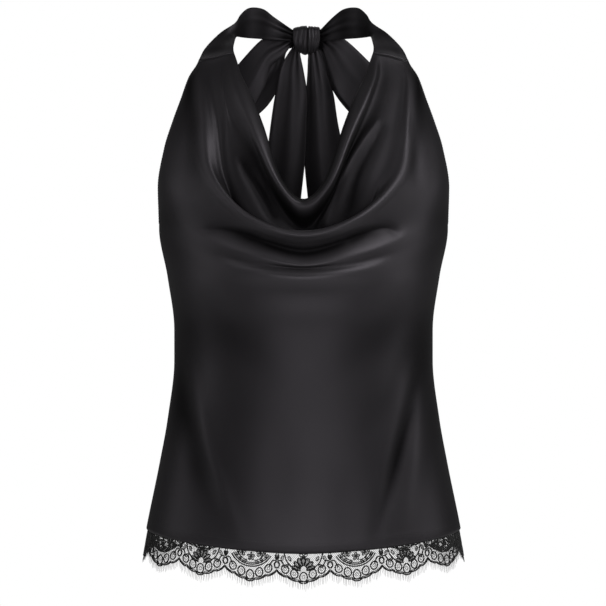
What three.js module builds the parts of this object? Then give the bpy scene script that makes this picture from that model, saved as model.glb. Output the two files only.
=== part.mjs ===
// A satin halter neck top with a cowl front, a low plain back, an eyelash-lace hem and a neck tie in a bow.
// It is worn and hollow. Millimetres, +Z up, -Y to the front, +X to the right of someone looking at the front.
// The origin is where the neck tie bears on the nape of the neck.
import * as THREE from "three";

// Driving sizes
const CLOTH = 1.2; // wall of the satin panels
const BINDING = 1.9; // wall of the folded armhole binding
const BINDING_WIDTH = 6.5;
const TIE = 1.6; // wall of the tie, which is a double layer
const LACE = 1.0; // wall of the lace
const GAP = 0.35; // between pieces that are sewn together
const STRAP_GAP = 0.7; // at the strap seams, where the cloth also bends
const SCALLOPS = 8; // lace scallops on each half of the hem
const PETALS = 5; // petals in each scallop
const LACE_OVERLAP = 5; // how far the lace reaches up behind the satin hem
const LACE_INSET = 2.1; // how far inside the satin's middle surface the lace lies
const LASHES_PER_PETAL = 2;
const LASH_LENGTH = 7.5;
const LASH_BASE = 1.4;
const LASH_STRIP = 1.1; // height of the strip that the lashes hang from

const COLUMNS = { front: 34, back: 22 };
const RIBBON_COLUMNS = 4;
const HALF_TURN = Math.PI / 2;
const ALONG_X = 0;
const ALONG_Z = 2;

// The figure that the cloth goes round: at each height, the side edge's half width and depth, and the depths
// of the front and back centres.
const FIGURE = [
  // height, edge x, edge y, front y, back y
  [-640, 189, -87, -197, 27],
  [-563, 175.5, -87, -193, 24],
  [-493, 161.2, -87, -189, 19],
  [-440, 151.6, -87, -187, 14],
  [-376, 144.4, -87, -189, 8],
  [-342, 144.4, -87, -192, 7],
  [-283, 151.8, -87, -206, 15],
  [-228, 161.4, -87, -201, 20],
  [-185, 161.4, -103, -190, 18],
  [-140, 154, -108, -170, 14],
  [-110, 145, -104, -152, 11],
  [-84, 136.2, -97, -134, 8],
  [-60, 128.4, -88, -115, 5],
  [-41, 118.3, -80, -101, 2],
  [-20, 112, -74, -84, 0],
];
const EDGE_X = 1;
const EDGE_Y = 2;
const FRONT_Y = 3;
const BACK_Y = 4;

// The front panel's rows of cloth, each hung from edge to edge. Five stations run from the front centre to the
// edge: around is 0 at the front centre and 1 at the side seam, height is in millimetres, and back is how far
// the cloth hangs behind the figure's front (+) or stands before it (-). lean shifts a row to the right, and
// steps is how many strips reach the next row.
const FRONT_ROWS = [
  // name, steps, lean, around, height, back
  ["neck edge", 1, 0, [0, 0.115, 0.19, 0.3, 0.47], [-200, -167, -119, -76, -32], [20, 13, 6, 2, 0]],
  ["edge roll", 2, 0.01, [0, 0.13, 0.21, 0.33, 0.51], [-209, -177, -126, -82, -33], [15, 7, 2, -1, 0]],
  ["inner valley", 2, -0.01, [0, 0.135, 0.24, 0.37, 0.55], [-231, -194, -144, -93, -34], [31, 22, 12, 5, 0]],
  ["middle crest", 2, 0, [0, 0.18, 0.29, 0.43, 0.61], [-243, -206, -155, -97, -35], [27, 15, 4, -1, 0]],
  ["pocket", 2, 0.01, [0, 0.25, 0.41, 0.48, 0.69], [-249, -228, -177, -107, -37], [17, 14, 8, 3, 0]],
  ["lip inside", 1, 0.02, [0, 0.245, 0.42, 0.53, 0.75], [-244, -223, -174, -107, -38], [5, 5, 2, 0, 0]],
  ["lip", 1, 0.02, [0, 0.235, 0.43, 0.57, 0.82], [-235.5, -217, -170, -107, -39], [-3, -4, -4, -2, 0]],
  ["lip outside", 3, 0.01, [0, 0.24, 0.45, 0.61, 1], [-241, -222, -176, -109, -41], [-9, -9, -6, -2, 0]],
  ["upper armhole", 2, 0.01, [0, 0.24, 0.46, 0.65, 1], [-247, -229, -190, -133, -67], [-9, -8, -4, 0, 0]],
  ["under lip", 2, 0, [0, 0.235, 0.45, 0.69, 1], [-254, -236.5, -214, -164, -107], [-4.5, -5, -3, -1, 0]],
  ["first valley", 2, 0, [0, 0.22, 0.43, 0.69, 1], [-259.5, -243, -231, -203, -154], [4, 4, 3, 0, 0]],
  ["thin crest", 2, 0, [0, 0.22, 0.44, 0.7, 1], [-265, -251.5, -242, -222, -181], [-1.5, -2, -2, 0, 0]],
  ["second valley", 2, 0, [0, 0.225, 0.45, 0.71, 1], [-273, -268, -254, -239, -205], [3.5, 2, 0, 0, 0]],
  ["broad crest", 2, 0, [0, 0.23, 0.46, 0.73, 1], [-283, -275, -265, -253, -228], [-4.5, -4, -2, 0, 0]],
  ["below crest", 1, 0, [0, 0.235, 0.47, 0.735, 1], [-300, -297, -288, -277, -254], [0, 0, 0, 0, 0]],
  ["ribs", 1, 0, [0, 0.24, 0.48, 0.74, 1], [-324, -323, -318, -309, -288], [0, 0, 1, 1, 0]],
  ["waist", 1, 0, [0, 0.25, 0.5, 0.75, 1], [-354, -354, -351, -345, -328], [0, 0, 1, 2, 0]],
  ["below waist", 1, 0, [0, 0.25, 0.5, 0.75, 1], [-396, -396, -394, -388, -372], [0, 0, 0, 3, 0]],
  ["high hip", 1, 0, [0, 0.25, 0.5, 0.75, 1], [-442, -442, -440, -434, -420], [0, 0, 1, 3, 0]],
  ["hip", 1, 0, [0, 0.25, 0.5, 0.75, 1], [-490, -490, -488, -482, -470], [0, 0, 2, 1, 0]],
  ["above hem", 1, 0, [0, 0.25, 0.5, 0.75, 1], [-536, -535, -531, -525, -517], [0, 0, 1, 0, 0]],
  ["hem", 0, 0, [0, 0.25, 0.5, 0.75, 1], [-580, -577, -572, -567, -563], [0, 0, 0, 0, 0]],
].map(([name, steps, lean, around, height, back]) => ({ name, steps, lean, around, height, back }));
// Soft drag folds of the front: the heights of the two ends, where the fold crosses from its upper end through
// its middle to its lower end, its half width, and how deep it goes in (+) or stands out (-).
const DRAG_FOLDS = [
  { name: "left hip crest", top: -345, bottom: -530, across: [-132, -108, -70], halfWidth: 13, depth: -3.5 },
  { name: "left hip valley", top: -335, bottom: -520, across: [-146, -126, -92], halfWidth: 12, depth: 3.5 },
  { name: "right hip valley", top: -365, bottom: -535, across: [136, 104, 78], halfWidth: 12, depth: 4 },
  { name: "right hip crest", top: -365, bottom: -525, across: [146, 122, 99], halfWidth: 13, depth: -3 },
  { name: "left bust drag", top: -262, bottom: -352, across: [-120, -90, -52], halfWidth: 13, depth: 3 },
  { name: "right bust drag", top: -258, bottom: -352, across: [116, 86, 48], halfWidth: 13, depth: 3 },
];
const LEAN_SHARE = [0, 0.7, 1, 0.7, 0]; // how much of a row's lean each station takes
const OUTER_CORNER = FRONT_ROWS.findIndex((row) => row.name === "lip outside");
const UNDERARM = FRONT_ROWS.findIndex((row) => row.name === "broad crest");

// The back panel's rows: the heights at the centre back and at the side seam.
const BACK_ROWS = [
  { name: "top edge", centre: -240, side: -228, steps: 2 },
  { name: "ribs", centre: -292, side: -288, steps: 2 },
  { name: "waist", centre: -350, side: -344, steps: 2 },
  { name: "high hip", centre: -440, side: -430, steps: 2 },
  { name: "hip", centre: -505, side: -497, steps: 2 },
  { name: "hem", centre: -570, side: -563, steps: 0 },
];
const BACK_EASE = 2.5; // depth of the soft waves where the back is taken in at the waist
const BACK_WAVES = 3;

// Ribbons are given as sections of two edge points each, from one end to the other.
const STRAP_RIGHT = [
  // inner or lower edge, outer or upper edge
  [[80.2, -88.3, -31.4], [118.2, -80.2, -40.2]],
  [[78.5, -78, -21], [111, -72, -24.5]],
  [[77, -63, -12], [95, -61, -6]],
  [[76, -47, -8], [78, -51, 7.5]],
  [[71, -34, -7], [71.5, -40, 19]],
  [[62, -23, -6.5], [62, -28, 28]],
  [[48, -12, -6], [47, -15, 28.5]],
  [[34, -3, -6], [34, -4, 20.5]],
];
const STRAP_ENDS = {
  right: [[19.95, 7, -6], [19.95, 7, 8]],
  left: [[12.95, 7, -6], [12.95, 7, 7.5]],
};
const LOOP_LEFT = [
  // upper edge, lower edge: out on the neck's side, round the tip and back behind
  [[-12.95, 13, 3], [-12.95, 13, -8]],
  [[-28, 9, 3], [-24, 9, -23]],
  [[-49, 7, -4], [-38, 8, -36]],
  [[-76, 9, -32], [-46, 8, -60]],
  [[-92, 13, -50], [-62, 12, -90]],
  [[-100, 20, -60], [-76, 20, -107]],
  [[-92, 28, -52], [-64, 29, -98]],
  [[-74, 32, -33], [-42, 33, -78]],
  [[-48, 30, -8], [-30, 31, -50]],
  [[-28, 24, 1], [-22, 24, -28]],
  [[-12.95, 18, 2], [-12.95, 18, -9]],
];
const LOOP_RIGHT = [
  [[19.95, 13, 3], [19.95, 13, -8]],
  [[33, 9, 3], [26, 9, -24]],
  [[50, 7, -5], [31, 8, -43]],
  [[78, 9, -31], [41, 8, -69]],
  [[93, 13, -48], [63, 12, -95]],
  [[101, 20, -58], [78, 20, -109]],
  [[93, 28, -50], [64, 29, -97]],
  [[75, 32, -31], [42, 33, -72]],
  [[50, 30, -8], [31, 31, -44]],
  [[33, 24, 1], [26, 24, -24]],
  [[19.95, 18, 2], [19.95, 18, -9]],
];
const TAIL_LEFT = [
  // outer edge, inner edge
  [[-16, 12, -17], [-4, 12, -20.8]],
  [[-25, 12, -40], [0.5, 13, -42]],
  [[-33, 14, -66], [4.4, 14, -68]],
  [[-38, 16, -98], [3.6, 16, -100]],
  [[-43, 19, -138], [2.2, 19, -140]],
  [[-49, 23, -189], [-3.2, 23, -191]],
  [[-55, 26, -240], [-8, 27, -242]],
  [[-61, 27, -290], [-13, 30, -294]],
  [[-66, 27, -334], [-18, 30, -350]],
];
const TAIL_RIGHT = [
  [[5.6, 12, -21.9], [18, 12, -19.7]],
  [[4.6, 14.5, -42], [27, 12, -40]],
  [[2.8, 17, -68], [35, 14, -66]],
  [[2, 19.4, -100], [40, 16, -98]],
  [[0.8, 22.4, -140], [47.5, 19, -138]],
  [[5.3, 26, -191], [53, 23, -189]],
  [[12, 29, -242], [60, 26, -240]],
  [[18, 30, -294], [67, 27, -290]],
  [[24, 30, -350], [73, 27, -334]],
];

// The knot: a tied band, as rings across x with their height and depth.
const KNOT = { centre: [3, 13, -4], around: 18 };
const KNOT_RINGS = [
  // x from the centre, half height, half depth
  [-15.6, 11, 8.6],
  [-13.6, 14.4, 10],
  [-9, 16.2, 11],
  [-4, 17.2, 11.6],
  [1, 16.4, 11],
  [6, 17.2, 11.6],
  [12, 15.8, 10.8],
  [15, 13.6, 9.8],
  [16.6, 10.6, 8.4],
];

// A smooth curve through evenly spaced values, read at t = 0 to the last index
function spline(values, t) {
  const last = values.length - 1;
  const i = Math.min(Math.max(Math.floor(t), 0), last - 1);
  const f = t - i;
  const p1 = values[i];
  const p2 = values[i + 1];
  const p0 = i > 0 ? values[i - 1] : 2 * p1 - p2;
  const p3 = i + 2 <= last ? values[i + 2] : 2 * p2 - p1;
  return p1 + 0.5 * f * (p2 - p0 + f * (2 * p0 - 5 * p1 + 4 * p2 - p3 + f * (3 * (p1 - p2) + p3 - p0)));
}

// One column of the figure's table, read smoothly at a height
function figure(column, height) {
  const rows = FIGURE;
  const z = Math.min(Math.max(height, rows[0][0]), rows[rows.length - 1][0]);
  let i = 0;
  while (i < rows.length - 2 && rows[i + 1][0] < z) i++;
  const slope = (a) => (rows[a + 1][column] - rows[a][column]) / (rows[a + 1][0] - rows[a][0]);
  const meeting = (a, b) => (a * b > 0 ? (2 * a * b) / (a + b) : 0);
  const span = rows[i + 1][0] - rows[i][0];
  const here = slope(i);
  const before = i > 0 ? meeting(slope(i - 1), here) : here;
  const after = i + 2 < rows.length ? meeting(here, slope(i + 1)) : here;
  const t = (z - rows[i][0]) / span;
  const value = rows[i][column];
  return (
    value * (1 + t * t * (2 * t - 3)) +
    rows[i + 1][column] * t * t * (3 - 2 * t) +
    span * (before * t * (1 - t) * (1 - t) - after * t * t * (1 - t))
  );
}

// The point of the figure at a place round it and a height. centre is the column of the front or back depth.
function onFigure(around, height, centre) {
  const edgeY = figure(EDGE_Y, height);
  const depth = edgeY - figure(centre, height);
  return new THREE.Vector3(
    figure(EDGE_X, height) * Math.sin(around * HALF_TURN),
    edgeY - depth * Math.cos(around * HALF_TURN),
    height,
  );
}

// The five stations of a row, mirrored into nine from the left edge to the right edge
function mirrored(values, sign) {
  return [...values.slice(1).reverse().map((value) => sign * value), ...values];
}
const rowStations = FRONT_ROWS.map((row) => {
  const lean = mirrored(LEAN_SHARE.map((share) => share * row.lean), 1);
  return {
    around: mirrored(row.around, -1).map((value, k) => value + lean[k]),
    height: mirrored(row.height, 1),
    back: mirrored(row.back, 1),
  };
});
const STATION_SPAN = 4; // stations from the centre to an edge

// The front panel's middle surface: u runs from -1 at the left edge to 1 at the right, v counts rows down
function frontPoint(u, v) {
  const t = (u + 1) * STATION_SPAN;
  const first = Math.min(Math.max(Math.floor(t) - 1, 0), 2 * STATION_SPAN - 3);
  const read = (key) => {
    const across = rowStations[0][key].map((_, k) =>
      k >= first - 1 && k <= first + 4 ? spline(rowStations.map((row) => row[key][k]), v) : 0,
    );
    return spline(across, t);
  };
  const around = read("around");
  const point = onFigure(around, read("height"), FRONT_Y);
  point.y += read("back") - GAP / 2 + dragDepth(point) * (1 - around ** 8);
  return point;
}
function dragDepth(point) {
  let depth = 0;
  for (const fold of DRAG_FOLDS) {
    const along = (fold.top - point.z) / (fold.top - fold.bottom);
    if (along <= 0 || along >= 1) continue;
    const aside = (point.x - spline(fold.across, 2 * along)) / fold.halfWidth;
    depth += fold.depth * Math.exp(-aside * aside) * Math.sin(Math.PI * along) ** 2;
  }
  return depth;
}

// Direction across times direction along, as a unit vector
function normalAt(surface, u, v, stepU, stepV) {
  const across = surface(u + stepU, v).sub(surface(u - stepU, v));
  const along = surface(u, v + stepV).sub(surface(u, v - stepV));
  return along.cross(across).normalize();
}

// A closed wall of cloth from a grid of middle points and outward directions, rows[j][i]
function wall(rows, thickness) {
  const height = rows.length;
  const width = rows[0].length;
  const positions = [];
  for (const side of [0.5, -0.5])
    for (const row of rows)
      for (const { point, normal } of row) positions.push(...point.clone().addScaledVector(normal, side * thickness));
  const outer = (j, i) => j * width + i;
  const inner = (j, i) => height * width + outer(j, i);
  const triangles = [];
  const quad = (a, b, c, d) => triangles.push(a, b, c, a, c, d);
  for (let j = 0; j + 1 < height; j++)
    for (let i = 0; i + 1 < width; i++) {
      quad(outer(j, i), outer(j + 1, i), outer(j + 1, i + 1), outer(j, i + 1));
      quad(inner(j, i), inner(j, i + 1), inner(j + 1, i + 1), inner(j + 1, i));
    }
  for (let i = 0; i + 1 < width; i++) {
    quad(outer(0, i), outer(0, i + 1), inner(0, i + 1), inner(0, i));
    quad(outer(height - 1, i + 1), outer(height - 1, i), inner(height - 1, i), inner(height - 1, i + 1));
  }
  for (let j = 0; j + 1 < height; j++) {
    quad(outer(j + 1, 0), outer(j, 0), inner(j, 0), inner(j + 1, 0));
    quad(outer(j, width - 1), outer(j + 1, width - 1), inner(j + 1, width - 1), inner(j, width - 1));
  }
  return geometryOf(positions, triangles);
}

function geometryOf(positions, triangles) {
  const geometry = new THREE.BufferGeometry();
  geometry.setAttribute("position", new THREE.Float32BufferAttribute(positions, 3));
  geometry.setIndex(triangles);
  return geometry;
}

// Row lines with their steps between, as a list of v
function rowLines(rows) {
  const lines = rows.flatMap((row, k) => Array.from({ length: row.steps }, (_, s) => k + s / row.steps));
  return [...lines, rows.length - 1];
}

// The share of u that the binding and its gap take at each edge of the armhole
const BINDING_START = OUTER_CORNER + 0.34;
const BINDING_END = UNDERARM - 0.34;
const NOTCH = 0.16; // in rows: how fast the panel steps back from the edge
function edgeShare(v, width) {
  const near = 0.96;
  const speed = frontPoint(1, v).distanceTo(frontPoint(near, v)) / (1 - near);
  return width / speed;
}
function panelEdge(v) {
  const rise = Math.min((v - BINDING_START + NOTCH + 0.03) / NOTCH, (BINDING_END + NOTCH + 0.03 - v) / NOTCH, 1);
  return 1 - Math.max(rise, 0) * edgeShare(v, BINDING_WIDTH + GAP);
}

const STEP_U = 0.004;
const STEP_V = 0.02;
// Where the cloth ends at the side, its end face lies level with the seam
function gridOf(surface, us, vs) {
  const knotAt = (u, v) => {
    const normal = normalAt(surface, u, v, STEP_U, STEP_V);
    if (Math.abs(u) === 1) normal.setY(0).normalize();
    return { point: surface(u, v), normal };
  };
  return vs.map((v) => us(v).map((u) => knotAt(u, v)));
}
const evenly = (count, from, to) => Array.from({ length: count + 1 }, (_, i) => from + ((to - from) * i) / count);

function frontPanel() {
  const notches = [BINDING_START - NOTCH - 0.03, BINDING_START - 0.03, BINDING_END + 0.03, BINDING_END + NOTCH + 0.03];
  const near = (line) => notches.some((notch) => Math.abs(notch - line) < 0.12);
  const lines = [...rowLines(FRONT_ROWS).filter((line) => !near(line)), ...notches].sort((a, b) => a - b);
  return wall(gridOf(frontPoint, (v) => evenly(COLUMNS.front, -panelEdge(v), panelEdge(v)), lines), CLOTH);
}

function armholeBinding(side) {
  const lines = [BINDING_START, ...rowLines(FRONT_ROWS), BINDING_END]
    .filter((v, k) => k === 0 || (v > BINDING_START + 0.1 && v < BINDING_END - 0.1) || v === BINDING_END)
    .filter((v) => v >= BINDING_START && v <= BINDING_END);
  const us = (v) => {
    const inner = 1 - edgeShare(v, BINDING_WIDTH);
    return side > 0 ? evenly(2, inner, 1) : evenly(2, -1, -inner);
  };
  return wall(gridOf(frontPoint, us, lines), BINDING);
}

function backPanel() {
  const surface = (u, v) => {
    const centre = spline(BACK_ROWS.map((row) => row.centre), v);
    const side = spline(BACK_ROWS.map((row) => row.side), v);
    const point = onFigure(-u, side + (centre - side) * Math.cos(u * HALF_TURN), BACK_Y);
    const waist = Math.exp(-(((point.z + 360) / 90) ** 2));
    const waves = Math.cos(u * Math.PI * BACK_WAVES) * Math.cos(u * HALF_TURN);
    point.y += BACK_EASE * waist * waves + GAP / 2;
    return point;
  };
  return wall(gridOf(surface, () => evenly(COLUMNS.back, -1, 1), rowLines(BACK_ROWS)), CLOTH);
}

// A ribbon through sections of two edge points, bulged outwards across its width. Where a start line is given,
// the first section is bent to follow it. squareTo names the axis that the end faces at the knot are square to.
function ribbon(sections, steps, bulge, { startLine, squareTo, squareEnds }) {
  const read = (edge, axis, t) => spline(sections.map((section) => section[edge][axis]), t);
  const edgePoint = (edge, t) => new THREE.Vector3(read(edge, 0, t), read(edge, 1, t), read(edge, 2, t));
  const flat = (u, v) => {
    const point = edgePoint(0, v).lerp(edgePoint(1, v), u);
    if (!startLine || v >= 1) return point;
    const shift = startLine(u).sub(edgePoint(0, 0).lerp(edgePoint(1, 0), u));
    return point.addScaledVector(shift, (1 - v) ** 2);
  };
  const rows = evenly(steps, 0, sections.length - 1).map((v) =>
    evenly(RIBBON_COLUMNS, 0, 1).map((u) => {
      const normal = normalAt(flat, u, v, STEP_U, STEP_V);
      if (squareEnds.includes(v / (sections.length - 1))) normal.setComponent(squareTo, 0).normalize();
      const rise = bulge * Math.sin(Math.PI * u) * Math.sin((Math.PI * v) / (sections.length - 1));
      return { point: flat(u, v).addScaledVector(normal, rise), normal };
    }),
  );
  return wall(rows, TIE);
}

// The front panel's edge at a strap seam, from the neck edge to the armhole, moved off by a seam's gap
function strapSeam(side, share) {
  const edge = frontPoint(side, share * OUTER_CORNER);
  const inside = frontPoint(side * 0.98, share * OUTER_CORNER);
  return edge.addScaledVector(edge.clone().sub(inside).normalize(), STRAP_GAP);
}

const mirrorX = (sections) => sections.map((section) => section.map(([x, y, z]) => [-x, y, z]));
// Swapping a ribbon's edges keeps its faces pointing out after it is mirrored
const swapped = (sections) => sections.map(([a, b]) => [b, a]);

function knot() {
  const positions = [];
  const [cx, cy, cz] = KNOT.centre;
  for (const [x, halfHeight, halfDepth] of KNOT_RINGS)
    for (let i = 0; i < KNOT.around; i++) {
      const angle = (i / KNOT.around) * 2 * Math.PI;
      positions.push(cx + x, cy + halfDepth * Math.cos(angle), cz + halfHeight * Math.sin(angle));
    }
  const at = (ring, i) => ring * KNOT.around + (i % KNOT.around);
  const triangles = [];
  for (let ring = 0; ring + 1 < KNOT_RINGS.length; ring++)
    for (let i = 0; i < KNOT.around; i++) {
      triangles.push(at(ring, i), at(ring, i + 1), at(ring + 1, i + 1));
      triangles.push(at(ring, i), at(ring + 1, i + 1), at(ring + 1, i));
    }
  const lastRing = KNOT_RINGS.length - 1;
  for (let i = 1; i + 1 < KNOT.around; i++) {
    triangles.push(at(0, 0), at(0, i + 1), at(0, i));
    triangles.push(at(lastRing, 0), at(lastRing, i), at(lastRing, i + 1));
  }
  return geometryOf(positions, triangles);
}

// The hem: how far round it a share of its length is, so that scallops are evenly wide
const HEM_SAMPLES = 200;
function arcTable(centre, height) {
  const lengths = [0];
  for (let i = 1; i <= HEM_SAMPLES; i++) {
    const previous = onFigure((i - 1) / HEM_SAMPLES, height, centre);
    lengths.push(lengths[i - 1] + onFigure(i / HEM_SAMPLES, height, centre).distanceTo(previous));
  }
  return lengths;
}
function hemBand(centre, hemHeight) {
  const lengths = arcTable(centre, -600);
  const total = lengths[HEM_SAMPLES];
  const aroundAt = (share) => {
    const target = Math.abs(share) * total;
    let i = 1;
    while (i < HEM_SAMPLES && lengths[i] < target) i++;
    const part = (target - lengths[i - 1]) / (lengths[i] - lengths[i - 1]);
    return (Math.sign(share) * Math.min(i - 1 + part, HEM_SAMPLES)) / HEM_SAMPLES;
  };
  // across is in petals from the centre, down is in millimetres below the satin's edge, out is along the normal
  const petalsToSeam = (SCALLOPS * PETALS) / 2;
  const place = (across, down, out) => {
    const around = aroundAt(across / petalsToSeam);
    const height = hemHeight(around) - down;
    const point = onFigure(around, height, centre);
    const beside = onFigure(around + 1e-3, height, centre).sub(onFigure(around - 1e-3, height, centre));
    const normal = new THREE.Vector3(beside.y, -beside.x, 0).normalize();
    const outward = centre === FRONT_Y ? 1 : -1;
    point.addScaledVector(normal, outward * (out - LACE_INSET));
    point.y += (centre === FRONT_Y ? -1 : 1) * (GAP / 2 + 0.1);
    return point;
  };
  return { place, petalsToSeam, petalWidth: total / petalsToSeam };
}
const frontHem = (around) => {
  const heights = FRONT_ROWS[FRONT_ROWS.length - 1].height;
  return spline(mirrored(heights, 1), (around + 1) * STATION_SPAN);
};
const backHem = (around) => {
  const { centre, side } = BACK_ROWS[BACK_ROWS.length - 1];
  return side + (centre - side) * Math.cos(around * HALF_TURN);
};

// The lace's lower edge: how far each petal hangs, from the scallop's tip out to the valley beside it
const PETAL_DROPS = [31.5, 28.2, 23.6];
const NOTCH_DROPS = [29, 24.6, 18.6]; // the notches after the tip petal, the next one and the last one
const petalIndex = (k) => Math.abs(((((k + 2) % PETALS) + PETALS) % PETALS) - 2);
const notchDrop = (k) => {
  const left = petalIndex(k);
  const right = petalIndex(k + 1);
  return left === right ? NOTCH_DROPS[2] : NOTCH_DROPS[Math.min(left, right)];
};
// Openings in each petal's stretch of lace: centre across and down, half width and half height
const PETAL_HOLE = { rise: 6.4, halfWidth: 2.7, halfHeight: 3.7, sides: 6 };
const UPPER_HOLES = [
  // by petal index: how far down, half width in millimetres, half height
  { down: 9.5, halfWidth: 3.4, halfHeight: 3.6, sides: 5 },
  { down: 8.2, halfWidth: 2.8, halfHeight: 3.0, sides: 5 },
];

// A flat outline with holes, in (across, down), made into a closed wall bent round the hem. Edges on the sides
// left and right are shared with the next stretch, so they get no rim.
function stretchOf(contour, holes) {
  const points = [...contour, ...holes.flat()];
  const toVector = ([across, down]) => new THREE.Vector2(across, down);
  const faces = THREE.ShapeUtils.triangulateShape(contour.map(toVector), holes.map((hole) => hole.map(toVector)));
  return { points, faces, loops: [contour, ...holes] };
}
function bandWall(stretches, place, mirror) {
  const positions = [];
  const triangles = [];
  const known = new Map();
  const vertex = ([across, down], out) => {
    const key = `${across.toFixed(4)},${down.toFixed(3)},${out}`;
    if (!known.has(key)) {
      known.set(key, positions.length / 3);
      positions.push(...place(across, down, out));
    }
    return known.get(key);
  };
  const push = (a, b, c) => (mirror ? triangles.push(a, c, b) : triangles.push(a, b, c));
  const half = LACE / 2;
  for (const { points, faces, loops, open } of stretches) {
    for (const [a, b, c] of faces) {
      const [pa, pb, pc] = [points[a], points[b], points[c]];
      const turn = (pb[0] - pa[0]) * (pc[1] - pa[1]) - (pb[1] - pa[1]) * (pc[0] - pa[0]);
      const [second, third] = turn > 0 ? [pc, pb] : [pb, pc];
      push(vertex(pa, half), vertex(second, half), vertex(third, half));
      push(vertex(pa, -half), vertex(third, -half), vertex(second, -half));
    }
    loops.forEach((loop, number) => {
      const area = loop.reduce((sum, [x, y], k) => {
        const [nextX, nextY] = loop[(k + 1) % loop.length];
        return sum + x * nextY - nextX * y;
      }, 0);
      // With down as the second axis, a positive area is a loop that runs clockwise seen from outside
      const path = area > 0 === (number === 0) ? loop : [...loop].reverse();
      path.forEach((from, k) => {
        const to = path[(k + 1) % path.length];
        const shared = number === 0 && from[0] === to[0] && open.includes(from[0]);
        if (shared) return;
        push(vertex(from, half), vertex(to, half), vertex(to, -half));
        push(vertex(from, half), vertex(to, -half), vertex(from, -half));
      });
    });
  }
  return geometryOf(positions, triangles);
}

function ellipse(across, down, halfWidth, halfHeight, sides) {
  return Array.from({ length: sides }, (_, k) => {
    const angle = ((k + 0.5) / sides) * 2 * Math.PI;
    return [across + halfWidth * Math.cos(angle), down + halfHeight * Math.sin(angle)];
  });
}

// Petal stretches from the left seam to the right seam. The first and last are half a petal wide.
function petalStretches(band) {
  const list = [];
  for (let k = -band.petalsToSeam; k <= band.petalsToSeam; k++) {
    const left = Math.max(k - 0.5, -band.petalsToSeam);
    const right = Math.min(k + 0.5, band.petalsToSeam);
    list.push({ k, left, right, whole: right - left > 0.9 });
  }
  return list;
}
const PETAL_FLAT = 0.2; // half of each petal's flat end, in petals
function lowerEdge({ k, left, right }) {
  const drop = PETAL_DROPS[petalIndex(k)];
  const start = left === k ? [[left, drop]] : [[left, notchDrop(k - 1)], [k - PETAL_FLAT, drop]];
  const end = right === k ? [[right, drop]] : [[k + PETAL_FLAT, drop], [right, notchDrop(k)]];
  return [...start, ...end];
}

function lace(centre, hemHeight) {
  const band = hemBand(centre, hemHeight);
  const stretches = petalStretches(band).map((stretch) => {
    const { k, left, right, whole } = stretch;
    const lower = lowerEdge(stretch);
    const contour = [[left, -LACE_OVERLAP], ...lower, [right, -LACE_OVERLAP]];
    const holes = [];
    if (whole) {
      const index = petalIndex(k);
      const { rise, halfWidth, halfHeight, sides } = PETAL_HOLE;
      holes.push(ellipse(k, PETAL_DROPS[index] - rise, halfWidth / band.petalWidth, halfHeight, sides));
      const upper = UPPER_HOLES[index];
      if (upper)
        holes.push(ellipse(k, upper.down, upper.halfWidth / band.petalWidth, upper.halfHeight, upper.sides));
    }
    const open = [left, right].filter((edge) => Math.abs(edge) < band.petalsToSeam);
    return { ...stretchOf(contour, holes), open };
  });
  return bandWall(stretches, band.place, centre === BACK_Y);
}

function lashFringe(centre, hemHeight) {
  const band = hemBand(centre, hemHeight);
  const stretches = petalStretches(band).map((stretch) => {
    const { left, right, whole } = stretch;
    const top = lowerEdge(stretch).map(([across, down]) => [across, down + GAP]);
    const dropAt = (across) => {
      const i = Math.max(1, top.findIndex(([x]) => x >= across - 1e-9));
      const [[x0, d0], [x1, d1]] = [top[i - 1], top[i]];
      return d0 + ((d1 - d0) * (across - x0)) / (x1 - x0) + LASH_STRIP;
    };
    const bottom = [[left, top[0][1] + LASH_STRIP]];
    const count = whole ? LASHES_PER_PETAL : LASHES_PER_PETAL / 2;
    for (let n = 0; n < count; n++) {
      const root = left + ((n + 0.5) * (right - left)) / count;
      const base = LASH_BASE / 2 / band.petalWidth;
      bottom.push([root - base, dropAt(root - base)], [root, dropAt(root) + LASH_LENGTH]);
      bottom.push([root + base, dropAt(root + base)]);
    }
    bottom.push([right, top[top.length - 1][1] + LASH_STRIP]);
    const contour = [...bottom, ...top.reverse()];
    const open = [left, right].filter((edge) => Math.abs(edge) < band.petalsToSeam);
    return { ...stretchOf(contour, []), open };
  });
  return bandWall(stretches, band.place, centre === BACK_Y);
}

const satin = { color: 0x1f1e20, roughness: 0.42, metalness: 0, side: THREE.DoubleSide };
const laceThread = { color: 0x171717, roughness: 0.75, metalness: 0, side: THREE.DoubleSide };

const halterTop = new THREE.Group();
function add(name, geometry, finish) {
  const mesh = new THREE.Mesh(geometry, new THREE.MeshStandardMaterial(finish));
  mesh.name = name;
  halterTop.add(mesh);
}

add("front_panel", frontPanel(), satin);
add("back_panel", backPanel(), satin);
add("armhole_binding_left", armholeBinding(-1), satin);
add("armhole_binding_right", armholeBinding(1), satin);
const rightStrap = swapped([...STRAP_RIGHT, STRAP_ENDS.right]);
const leftStrap = mirrorX([...STRAP_RIGHT, STRAP_ENDS.left]);
const toKnot = { squareTo: ALONG_X, squareEnds: [1] };
add("neck_strap_right", ribbon(rightStrap, 20, 1, { ...toKnot, startLine: (u) => strapSeam(1, 1 - u) }), satin);
add("neck_strap_left", ribbon(leftStrap, 20, 1, { ...toKnot, startLine: (u) => strapSeam(-1, u) }), satin);
add("bow_knot", knot(), satin);
const loopEnds = { squareTo: ALONG_X, squareEnds: [0, 1] };
add("bow_loop_left", ribbon(LOOP_LEFT, 28, 2, loopEnds), satin);
add("bow_loop_right", ribbon(swapped(LOOP_RIGHT), 28, 2, loopEnds), satin);
const tailEnds = { squareTo: ALONG_Z, squareEnds: [0] };
add("bow_tail_left", ribbon(TAIL_LEFT, 16, 2, tailEnds), satin);
add("bow_tail_right", ribbon(TAIL_RIGHT, 16, 2, tailEnds), satin);
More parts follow.
